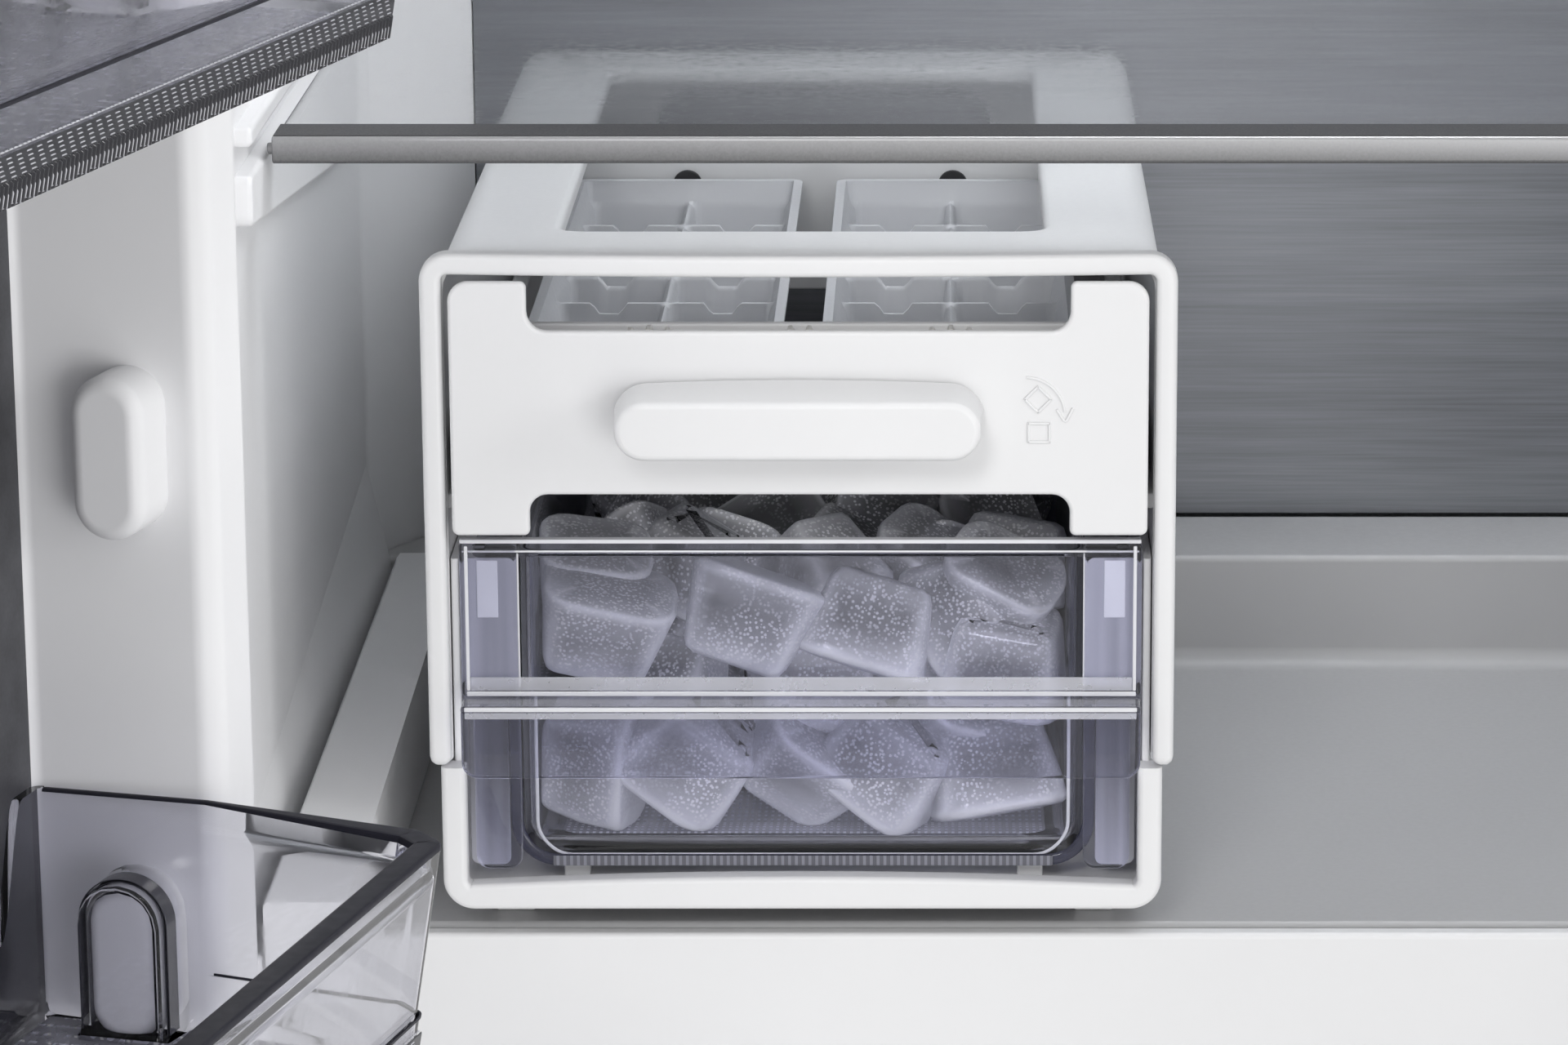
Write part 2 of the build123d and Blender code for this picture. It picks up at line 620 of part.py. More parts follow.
def dyke_hollow(mode):
    """Add or cut the ring of space inside the dyke that runs round the door liner."""
    outer = DYKE_OUTER + 3
    inner = DYKE_MOUTH - 2.4
    with BuildSketch(door_plane(Plane.XZ.offset(-DYKE_TIP + 3))) as ring:
        with Locations((DOOR_MIDDLE, (DYKE_BOTTOM + DYKE_TOP) / 2)):
            Rectangle(2 * (DOOR_MIDDLE - outer), DYKE_TOP - DYKE_BOTTOM - 6)
            Rectangle(
                2 * (DOOR_MIDDLE - inner),
                DYKE_TOP - DYKE_BOTTOM - 2 * (inner - DYKE_OUTER),
                mode=Mode.SUBTRACT,
            )
    extrude(ring.sketch, amount=DYKE_TIP - PANEL_Y, mode=mode)


with BuildPart(DOOR) as door_liner:
    block(
        (DOOR_LEFT + SHEET, DOOR_FLANGE - LINER, LINER_BOTTOM),
        (DOOR_RIGHT - SHEET, DOOR_FLANGE, LINER_TOP),
    )
    middle_z = (DYKE_BOTTOM + DYKE_TOP) / 2
    with BuildSketch(door_plane(Plane.XZ.offset(-DYKE_TIP))):
        with Locations((DOOR_MIDDLE, middle_z)):
            RectangleRounded(2 * (DOOR_MIDDLE - DYKE_OUTER), DYKE_TOP - DYKE_BOTTOM, 14)
    extrude(amount=DYKE_TIP - DOOR_FLANGE)
    fillet(door_liner.faces().sort_by(INWARD)[-1].edges(), 7)
    with BuildSketch(door_plane(Plane.XZ.offset(-DYKE_TIP))):
        with Locations((DOOR_MIDDLE, middle_z)):
            RectangleRounded(
                2 * (DOOR_MIDDLE - DYKE_MOUTH),
                DYKE_TOP - DYKE_BOTTOM - 2 * (DYKE_MOUTH - DYKE_OUTER), 10,
            )
    extrude(amount=DYKE_TIP - PANEL_Y, taper=4, mode=Mode.SUBTRACT)
    pocket_mouth = door_liner.faces().sort_by(INWARD)[-1].inner_wires()[0].edges()
    fillet(pocket_mouth, 6)
    for row in BOSS_ROWS:
        for x, root in ((BOSS_FACE, -17.5), (2 * DOOR_MIDDLE - BOSS_FACE, 17.5)):
            with BuildSketch(door_plane(Plane.YZ.offset(x))):
                with Locations((BOSS_Y, BOSS_Z + BOSS_PITCH * row)):
                    SlotOverall(BOSS_TALL, BOSS_WIDE, rotation=90)
            extrude(amount=root)
    block(
        (DYKE_OUTER + 3, DOOR_FLANGE - LINER - 1, DYKE_BOTTOM + 3),
        (2 * DOOR_MIDDLE - DYKE_OUTER - 3, PANEL_Y - 3, DYKE_TOP - 3),
        Mode.SUBTRACT,
    )
    dyke_hollow(Mode.SUBTRACT)
door_liner.part.label = "door_liner"
export_step(door_liner.part, "parts/door_liner.step")

with BuildPart(DOOR) as door_foam:
    block(
        (DOOR_LEFT + SHEET, DOOR_FACE + SHEET, LINER_BOTTOM),
        (DOOR_RIGHT - SHEET, DOOR_FLANGE - LINER, LINER_TOP),
    )
    block(
        (DYKE_OUTER + 3, DOOR_FLANGE - LINER - 1, DYKE_BOTTOM + 3),
        (2 * DOOR_MIDDLE - DYKE_OUTER - 3, PANEL_Y - 3, DYKE_TOP - 3),
    )
    dyke_hollow(Mode.ADD)
door_foam.part.label = "door_foam"
export_step(door_foam.part, "parts/door_foam.step")

with BuildPart(DOOR) as door_inner_plate:
    block(
        (DYKE_ROOT + 1.5, PANEL_Y, DYKE_BOTTOM + 34),
        (2 * DOOR_MIDDLE - DYKE_ROOT - 1.5, PANEL_Y + 0.9, DYKE_TOP - 34),
    )
door_inner_plate.part.label = "door_inner_plate"
export_step(door_inner_plate.part, "parts/door_inner_plate.step")

with BuildPart(DOOR) as door_gasket:
    with BuildSketch(door_plane(Plane.XZ.offset(-DOOR_FLANGE))):
        with Locations((DOOR_MIDDLE, (LINER_BOTTOM + LINER_TOP) / 2)):
            RectangleRounded(CABINET_WIDTH - 24, LINER_TOP - LINER_BOTTOM - 14, 6)
            RectangleRounded(CABINET_WIDTH - 68, LINER_TOP - LINER_BOTTOM - 58, 4, mode=Mode.SUBTRACT)
    extrude(amount=-GASKET_THICK)
    chamfer(door_gasket.faces().sort_by(INWARD)[-1].edges(), 3)
door_gasket.part.label = "door_gasket"
export_step(door_gasket.part, "parts/door_gasket.step")

# Bar handle on two posts, at the free edge of the door's face.
HANDLE_X = DOOR_RIGHT - 40
HANDLE_LOW = 860
HANDLE_HIGH = 1340
with BuildPart(DOOR) as door_handle:
    with BuildSketch(DOOR.offset(HANDLE_LOW)):
        with Locations((HANDLE_X, DOOR_FACE - 42)):
            SlotOverall(26, 14)
    extrude(amount=HANDLE_HIGH - HANDLE_LOW)
    for z in (HANDLE_LOW + 40, HANDLE_HIGH - 40):
        with BuildSketch(door_plane(Plane.XZ.offset(-DOOR_FACE))):
            with Locations((HANDLE_X, z)):
                SlotOverall(34, 12, rotation=90)
        extrude(amount=40)
door_handle.part.label = "door_handle"
export_step(door_handle.part, "parts/door_handle.step")


def bin_outline(inset, front, end_front):
    """Corners of a door bin in plan, mirrored about the door's middle line."""
    left = [(BIN_END + inset, BIN_REAR + inset), (BIN_END + inset, 91)]
    left += [(end_front + inset, front - 9 - inset), (end_front + 8 + inset, front - inset)]
    right = [(2 * DOOR_MIDDLE - x, y) for x, y in reversed(left)]
    return left + right


# Door bins hang over the bosses of the door liner and lift off upwards.
for number, row in BIN_ROWS.items():
    boss_z = BOSS_Z + BOSS_PITCH * row
    floor_z = boss_z - BIN_BELOW_BOSS
    rim_z = boss_z + BIN_ABOVE_BOSS
    with BuildPart(DOOR) as door_bin:
        for plane_z, front, end_front in ((floor_z, 149, 94), (rim_z, 160.5, 97)):
            with BuildSketch(DOOR.offset(plane_z)):
                with BuildLine():
                    Polyline(*bin_outline(0, front, end_front), close=True)
                make_face()
        loft()
        for plane_z, front, end_front in ((floor_z + 3, 149.6, 94), (rim_z + 0.01, 160.5, 97)):
            with BuildSketch(DOOR.offset(plane_z)):
                with BuildLine():
                    Polyline(*bin_outline(BIN_WALL, front, end_front), close=True)
                make_face()
        loft(mode=Mode.SUBTRACT)
        block(
            (BIN_END + 14, BIN_REAR - 1, floor_z + 30),
            (2 * DOOR_MIDDLE - BIN_END - 14, BIN_REAR + BIN_WALL + 1, rim_z + 1),
            Mode.SUBTRACT,
        )
        for x, outward in ((BIN_END, -1), (2 * DOOR_MIDDLE - BIN_END, 1)):
            with BuildSketch(door_plane(Plane.YZ.offset(x))):
                with Locations((BOSS_Y + 1, boss_z + 1)):
                    SlotOverall(BOSS_TALL + 8, BOSS_WIDE + 7, rotation=90)
                with Locations((BOSS_Y + 1, boss_z - 14)):
                    Rectangle(BOSS_WIDE + 7, 16)
            extrude(amount=-outward * 18.5)
        for x, outward in ((BIN_END, -1), (2 * DOOR_MIDDLE - BIN_END, 1)):
            with BuildSketch(door_plane(Plane.YZ.offset(x + outward * 2))):
                with Locations((BOSS_Y, boss_z + 0.25)):
                    SlotOverall(BOSS_TALL + 0.5, BOSS_WIDE + 1.6, rotation=90)
                with Locations((BOSS_Y, boss_z - 14)):
                    Rectangle(BOSS_WIDE + 1.6, 28)
            extrude(amount=-outward * 15.4, mode=Mode.SUBTRACT)
        block(
            (BIN_END + 17, 153.5, rim_z - 8), (2 * DOOR_MIDDLE - BIN_END - 17, 158.9, rim_z)
        )
        block(
            (BIN_END - 3, BIN_REAR - 1, floor_z - 9),
            (2 * DOOR_MIDDLE - BIN_END + 3, 165, floor_z),
            Mode.SUBTRACT,
        )
    door_bin.part.label = f"door_bin_{number}"
    export_step(door_bin.part, f"parts/door_bin_{number}.step")

# Drawers: a clear tub behind a white front panel with a pull lip.
for number, (bottom, top) in DRAWER_LEVELS.items():
    back = DRAWER_BACKS[number]
    tub_top = top - 24
    with BuildPart() as drawer_front:
        block(
            (-DRAWER_PANEL_HALF, DRAWER_FRONT, bottom),
            (DRAWER_PANEL_HALF, DRAWER_FRONT + DRAWER_PANEL, top),
        )
        with BuildSketch(front_plane(DRAWER_FRONT)):
            with Locations((0, top - 86)):
                SlotOverall(190, 26)
        extrude(amount=9, taper=8)
        with BuildSketch(front_plane(DRAWER_FRONT)):
            with Locations((0, top - 92)):
                SlotOverall(176, 20)
        extrude(amount=6.5, mode=Mode.SUBTRACT)
    drawer_front.part.label = f"drawer_front_{number}"
    export_step(drawer_front.part, f"parts/drawer_front_{number}.step")

    with BuildPart() as drawer_tub:
        tub_front = DRAWER_FRONT + DRAWER_PANEL
        with BuildSketch(Plane.XY.offset(bottom + 3.5)):
            with Locations((0, (tub_front + back) / 2)):
                Rectangle(2 * DRAWER_HALF, back - tub_front)
        extrude(amount=tub_top - bottom - 3.5)
        fillet(drawer_tub.edges().filter_by(Axis.Z).group_by(Axis.Y)[-1], 20)
        with BuildSketch(Plane.XY.offset(bottom + 6.5)):
            with Locations((0, (tub_front + back) / 2)):
                RectangleRounded(
                    2 * (DRAWER_HALF - DRAWER_WALL), back - tub_front - 2 * DRAWER_WALL, 17
                )
        extrude(amount=tub_top - bottom, mode=Mode.SUBTRACT)
    drawer_tub.part.label = f"drawer_tub_{number}"
    export_step(drawer_tub.part, f"parts/drawer_tub_{number}.step")

# Twist ice maker. Its case is a cover with a windowed top over a cradle that holds the ice bin.
with BuildPart() as ice_cover:
    cover_top = CASE_TOP - 1.4
    with BuildSketch(front_plane(-172)):
        with Locations((ICE_X, (cover_top + LEG_BOTTOM) / 2)):
            Rectangle(2 * COVER_HALF, cover_top - LEG_BOTTOM)
    extrude(amount=-(CASE_BACK + 172))
    fillet(ice_cover.edges().filter_by(Axis.Y).group_by(Axis.Z)[-1], 8)
    fillet(ice_cover.edges().filter_by(Axis.Z).group_by(Axis.Y)[-1], 8)
    with BuildSketch(front_plane(-176)):
        inner_top = cover_top - CASE_WALL
        with Locations((ICE_X, inner_top - 100)):
            RectangleRounded(2 * (COVER_HALF - CASE_WALL), 200, 6)
    extrude(amount=-(CASE_BACK - CASE_WALL + 176), mode=Mode.SUBTRACT)
    with BuildSketch(front_plane(CASE_FRONT)):
        with Locations((ICE_X, CASE_TOP - 100)):
            RectangleRounded(2 * RIM_HALF, 200, 8)
            RectangleRounded(2 * (RIM_HALF - RIM_THICK), 200 - 2 * RIM_THICK, 4, mode=Mode.SUBTRACT)
        with Locations((ICE_X, LEG_BOTTOM - 50)):
            Rectangle(300, 100, mode=Mode.SUBTRACT)
    extrude(amount=-8.4)
    with BuildSketch(Plane.XY.offset(CASE_TOP + 1)):
        with Locations((ICE_X, 5)):
            RectangleRounded(148, 274, 6)
    extrude(amount=-8, mode=Mode.SUBTRACT)
    with BuildSketch(front_plane(CASE_BACK - 6)):
        with Locations((ICE_X, 1065)):
            RectangleRounded(120, 124, 12)
    extrude(amount=-10, mode=Mode.SUBTRACT)
    for side in (-1, 1):
        ledge = sorted((ICE_X + side * (COVER_HALF - 1), ICE_X + side * 97))
        block((ledge[0], -164, 1063), (ledge[1], 116, 1067.7))
ice_cover.part.label = "ice_cover"
export_step(ice_cover.part, "parts/ice_cover.step")

with BuildPart() as ice_cradle:
    with BuildSketch(front_plane(-167)):
        with Locations((ICE_X, 995.5)):
            Rectangle(213, 107)
            with Locations((0, 2)):
                Rectangle(208, 107, mode=Mode.SUBTRACT)
    extrude(amount=-289)
    block((ICE_X - 106, 119.5, 941.5), (ICE_X + 106, 122, 1000))
    frame_top = LEG_BOTTOM - 0.4
    with BuildSketch(front_plane(CASE_FRONT)):
        with Locations((ICE_X, CRADLE_BOTTOM + 60)):
            RectangleRounded(2 * CRADLE_HALF, 120, 9)
        with BuildLine():
            inner = CRADLE_HALF - CRADLE_FRAME
            low = CRADLE_BOTTOM + CRADLE_FRAME + 0.4
            Line((ICE_X - inner, 1100), (ICE_X - inner, low))
            ThreePointArc((ICE_X - inner, low), (ICE_X, low + 2.6), (ICE_X + inner, low))
            Line((ICE_X + inner, low), (ICE_X + inner, 1100))
            Line((ICE_X + inner, 1100), (ICE_X - inner, 1100))
        make_face(mode=Mode.SUBTRACT)
        with Locations((ICE_X, frame_top + 50)):
            Rectangle(300, 100, mode=Mode.SUBTRACT)
    extrude(amount=-8.6)
    for side in (-1, 1):
        block((ICE_X + side * 90 - 6, -150, DECK_TOP), (ICE_X + side * 90 + 6, 100, 942))
        block((ICE_X + side * 70 - 4, -160, 944), (ICE_X + side * 70 + 4, 110, ICE_BIN_BOTTOM - 0.1))
ice_cradle.part.label = "ice_cradle"
export_step(ice_cradle.part, "parts/ice_cradle.step")

# Sliding carrier: the wide front plate, gear bulkhead, side beams and rear bearing wall.
TRAY_X = {"left": ICE_X - TRAY_SPACING, "right": ICE_X + TRAY_SPACING}
with BuildPart() as tray_carrier:
    with BuildSketch(front_plane(-177)):
        with Locations((ICE_X, (1057.7 + 1135.8) / 2)):
            RectangleRounded(209.8, 78.1, 6)
        with Locations((ICE_X, 1120.8 + 20)):
            RectangleRounded(162.8, 40, 6, mode=Mode.SUBTRACT)
        with Locations((ICE_X, 1070.4 - 20)):
            RectangleRounded(162.8, 40, 5, mode=Mode.SUBTRACT)
    extrude(amount=-3)
    block((ICE_X - 100, -157, 1072), (ICE_X + 100, -153.5, 1119))
    block((ICE_X - 100, 115, 1072), (ICE_X + 100, 118, 1106))
    for side in (-1, 1):
        beam = sorted((ICE_X + side * 98, ICE_X + side * 104))
        block((beam[0], -174.5, 1068), (beam[1], 118, 1088))
        with Locations(Location((ICE_X + side * TRAY_SPACING, 116.5, AXIS_Z), (90, 0, 0))):
            Cylinder(15, 3)
    for side in (-1, 1):
        with Locations(Location((ICE_X + side * TRAY_SPACING, -20, AXIS_Z), (90, 0, 0))):
            Cylinder(JOURNAL_RADIUS + RUNNING_GAP, 290, mode=Mode.SUBTRACT)
    with Locations(Location((ICE_X, -177, AXIS_Z), (90, 0, 0))):
        Cylinder(STEM_RADIUS + RUNNING_GAP, 20, mode=Mode.SUBTRACT)
    with Locations(Location((ICE_X, -155, AXIS_Z), (90, 0, 0))):
        Cylinder(JOURNAL_RADIUS + RUNNING_GAP, 8, mode=Mode.SUBTRACT)
tray_carrier.part.label = "tray_carrier"
export_step(tray_carrier.part, "parts/tray_carrier.step")

KNOB_FACE = -199
with BuildPart() as twist_knob:
    with BuildSketch(front_plane(-178.5)):
        with Locations((ICE_X, AXIS_Z)):
            SlotOverall(104, 20)
    with BuildSketch(front_plane(KNOB_FACE)):
        with Locations((ICE_X, AXIS_Z)):
            SlotOverall(109, 18)
    loft()
    with Locations(Location((ICE_X, -175.25, AXIS_Z), (90, 0, 0))):
        Cylinder(STEM_RADIUS, 29.5)
    with Locations(Location((ICE_X, -156.6, AXIS_Z), (90, 0, 0))):
        Cylinder(JOURNAL_RADIUS, 8)
twist_knob.part.label = "twist_knob"
export_step(twist_knob.part, "parts/twist_knob.step")

GEAR_FRONT = -166.5
GEAR_WIDTH = 6
with BuildPart() as knob_gear:
    with BuildSketch(front_plane(GEAR_FRONT)):
        with Locations((ICE_X, AXIS_Z)):
            Polygon(*gear_outline(GEAR_TEETH, TRAY_SPACING / 2, 0), align=None)
            Circle(STEM_RADIUS, mode=Mode.SUBTRACT)
    extrude(amount=-GEAR_WIDTH)
knob_gear.part.label = "knob_gear"
export_step(knob_gear.part, "parts/knob_gear.step")

for name, x in TRAY_X.items():
    with BuildPart() as tray_gear:
        with BuildSketch(front_plane(GEAR_FRONT)):
            with Locations((x, AXIS_Z)):
                Polygon(*gear_outline(GEAR_TEETH, TRAY_SPACING / 2, 1), align=None)
                Circle(JOURNAL_RADIUS, mode=Mode.SUBTRACT)
        extrude(amount=-GEAR_WIDTH)
    tray_gear.part.label = f"tray_gear_{name}"
    export_step(tray_gear.part, f"parts/tray_gear_{name}.step")

    with BuildPart() as ice_tray:
        cell_wall = 1.6
        with BuildSketch(Plane.XY.offset(TRAY_TOP)):
            with Locations((x, (TRAY_FRONT + TRAY_BACK) / 2)):
                RectangleRounded(2 * TRAY_HALF, TRAY_BACK - TRAY_FRONT, 5)
        extrude(amount=-2)
        with BuildSketch(Plane.XY.offset(TRAY_TOP - 2)):
            with Locations((x, (TRAY_FRONT + TRAY_BACK) / 2)):
                RectangleRounded(2 * TRAY_HALF - 4, TRAY_BACK - TRAY_FRONT - 4, 4)
        extrude(amount=-(TRAY_TOP - TRAY_BOTTOM - 2), taper=6)
        cell_length = (TRAY_BACK - TRAY_FRONT - 8) / TRAY_ROWS
        with BuildSketch(Plane.XY.offset(TRAY_TOP - 7)):
            with Locations((x, (TRAY_FRONT + TRAY_BACK) / 2)):
                with GridLocations(TRAY_HALF - 3, cell_length, 2, TRAY_ROWS):
                    RectangleRounded(TRAY_HALF - 3 - 2 * cell_wall, cell_length - 2 * cell_wall, 4)
        extrude(amount=-26.5, taper=7, mode=Mode.SUBTRACT)
        with BuildSketch(Plane.XY.offset(TRAY_TOP)):
            with Locations((x, (TRAY_FRONT + TRAY_BACK) / 2)):
                RectangleRounded(2 * TRAY_HALF - 9, TRAY_BACK - TRAY_FRONT - 9, 3)
        extrude(amount=-7, mode=Mode.SUBTRACT)
        for centre_y, length in ((-159.25, 26.5), (113.25, 12.5)):
            with Locations(Location((x, centre_y, AXIS_Z), (90, 0, 0))):
                Cylinder(JOURNAL_RADIUS, length)
    ice_tray.part.label = f"ice_tray_{name}"
    export_step(ice_tray.part, f"parts/ice_tray_{name}.step")

# Torsion spring round the knob's stem, which turns the knob and trays back.
with BuildPart() as knob_spring:
    with BuildLine() as turns:
        Helix(1.8, 5, 9.4, center=(ICE_X, -172.9, AXIS_Z), direction=(0, 1, 0))
    with BuildSketch(turns.line ^ 0):
        Circle(0.6)
    sweep(is_frenet=True)
knob_spring.part.label = "knob_spring"
export_step(knob_spring.part, "parts/knob_spring.step")

# Clear ice bin: a narrow tub behind a wide front with a hanging finger skirt.
with BuildPart() as ice_bin:
    block((ICE_X - BIN_HALF, -168, ICE_BIN_BOTTOM), (ICE_X + BIN_HALF, -165.5, 1006))
    block((ICE_X - ICE_PANEL_HALF, -170.5, 1003), (ICE_X + ICE_PANEL_HALF, -168, ICE_BIN_TOP))
    with BuildSketch(Plane.XY.offset(ICE_BIN_BOTTOM)):
        with Locations((ICE_X, (-166 + 116) / 2)):
            Rectangle(172, 282)
    extrude(amount=1050 - ICE_BIN_BOTTOM)
    fillet(ice_bin.edges().filter_by(Axis.Z).group_by(Axis.Y)[-1], 10)
    with BuildSketch(Plane.XY.offset(1048)):
        with Locations((ICE_X, (-168 + 116) / 2)):
            RectangleRounded(2 * BIN_HALF, 284, 4)
    extrude(amount=2)
    with BuildSketch(front_plane(-164)):
        with Locations((ICE_X, 1010)):
            RectangleRounded(166, 112, 9)
    extrude(amount=-277.5, mode=Mode.SUBTRACT)
    with BuildSketch(front_plane(-182)):
        with Locations((ICE_X, (LEG_BOTTOM + 1008) / 2)):
            RectangleRounded(2 * ICE_PANEL_HALF + 0.6, 1008 - LEG_BOTTOM, 6)
    extrude(amount=-2.5)
    block((ICE_X - ICE_PANEL_HALF, -181, 1003), (ICE_X + ICE_PANEL_HALF, -167, 1005.5))
    block((ICE_X - 90, 112, 1040), (ICE_X + 90, 120, 1051), Mode.SUBTRACT)
ice_bin.part.label = "ice_bin"
export_step(ice_bin.part, "parts/ice_bin.step")
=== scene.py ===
import logging
import math
from collections.abc import Sequence
from dataclasses import dataclass
from enum import Enum
from functools import cached_property

import bmesh
import bpy
import numpy as np
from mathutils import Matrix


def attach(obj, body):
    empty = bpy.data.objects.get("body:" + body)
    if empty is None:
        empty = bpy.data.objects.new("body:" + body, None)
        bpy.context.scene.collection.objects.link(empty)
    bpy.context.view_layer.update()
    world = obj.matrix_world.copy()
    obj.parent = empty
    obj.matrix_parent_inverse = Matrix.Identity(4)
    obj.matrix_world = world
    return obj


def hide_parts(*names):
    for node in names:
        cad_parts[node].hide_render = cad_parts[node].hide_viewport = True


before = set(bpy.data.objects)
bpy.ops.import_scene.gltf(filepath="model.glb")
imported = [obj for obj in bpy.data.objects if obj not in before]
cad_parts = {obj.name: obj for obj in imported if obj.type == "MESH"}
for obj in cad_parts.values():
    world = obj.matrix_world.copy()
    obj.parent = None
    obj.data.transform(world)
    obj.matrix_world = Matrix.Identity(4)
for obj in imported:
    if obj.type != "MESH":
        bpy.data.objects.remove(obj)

MM = 0.001
LOG = logging.getLogger("freezer")
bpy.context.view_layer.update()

# Sizes of the pieces are in millimetres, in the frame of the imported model
HINGE = (-284.6, -345.7)
DOOR_OPEN = math.radians(105)
ICE_X = -76.7

Numbers = Sequence[float] | np.ndarray
Places = Sequence[Sequence[float]] | np.ndarray


class Axes(Enum):
    """Which way a flat outline lies: the outline's two axes and the depth axis, as world axes."""

    PLAN = (0, 1, 2)
    FRONT = (0, 2, 1)
    SIDE = (1, 2, 0)


class Grain(Enum):
    """Fine relief and tint variation that a finish carries."""

    MOULDED = "moulded"
    BRUSHED = "brushed"
    SATIN = "satin"
    PANE = "pane"
    FROSTED = "frosted"
    CELLULAR = "cellular"
    GRIP = "grip"
    DIMPLED = "dimpled"
    RISE = "rise"
    FADE = "fade"


@dataclass(frozen=True)
class Finish:
    """How one material looks.

    Args:
        slot: Name of the finish, and its material slot in the record unless parent is given.
        colour: Linear base colour.
        grain: Kind of fine relief.
        roughness: Mean roughness.
        metallic: 1 for bare metal.
        transmission: 1 for clear plastics and glass.
        ior: Index of refraction.
        contrast: How far the tint varies either way.
        relief: Height of the fine relief in millimetres.
        shadow: How brightly clear materials let light pass straight on to what lies behind.
        parent: Material slot of the record that a finish of another name belongs to; not used.
        rim: Share of painted sheen, a pale layer standing in for reflected light where a clear surface is
            seen at a glancing angle.
    """

    slot: str
    colour: tuple
    grain: Grain = Grain.MOULDED
    roughness: float = 0.4
    metallic: float = 0.0
    transmission: float = 0.0
    ior: float = 1.46
    contrast: float = 0.03
    relief: float = 0.02
    shadow: float = 0.8
    parent: str = ""
    rim: float = 0.0


def clear(slot: str, colour: tuple, roughness: float, transmission: float, **more: object) -> Finish:
    """Describe a finish of the clear plastic bins.

    Args:
        slot: Name of the finish.
        colour: Linear base colour.
        roughness: Mean roughness.
        transmission: Share of light that goes through.
        more: Further fields of the finish.

    Returns:
        The finish.
    """
    fields = {"grain": Grain.PANE, "contrast": 0.02, "relief": 0.0, **more}
    return Finish(slot, colour, roughness=roughness, transmission=transmission, **fields)


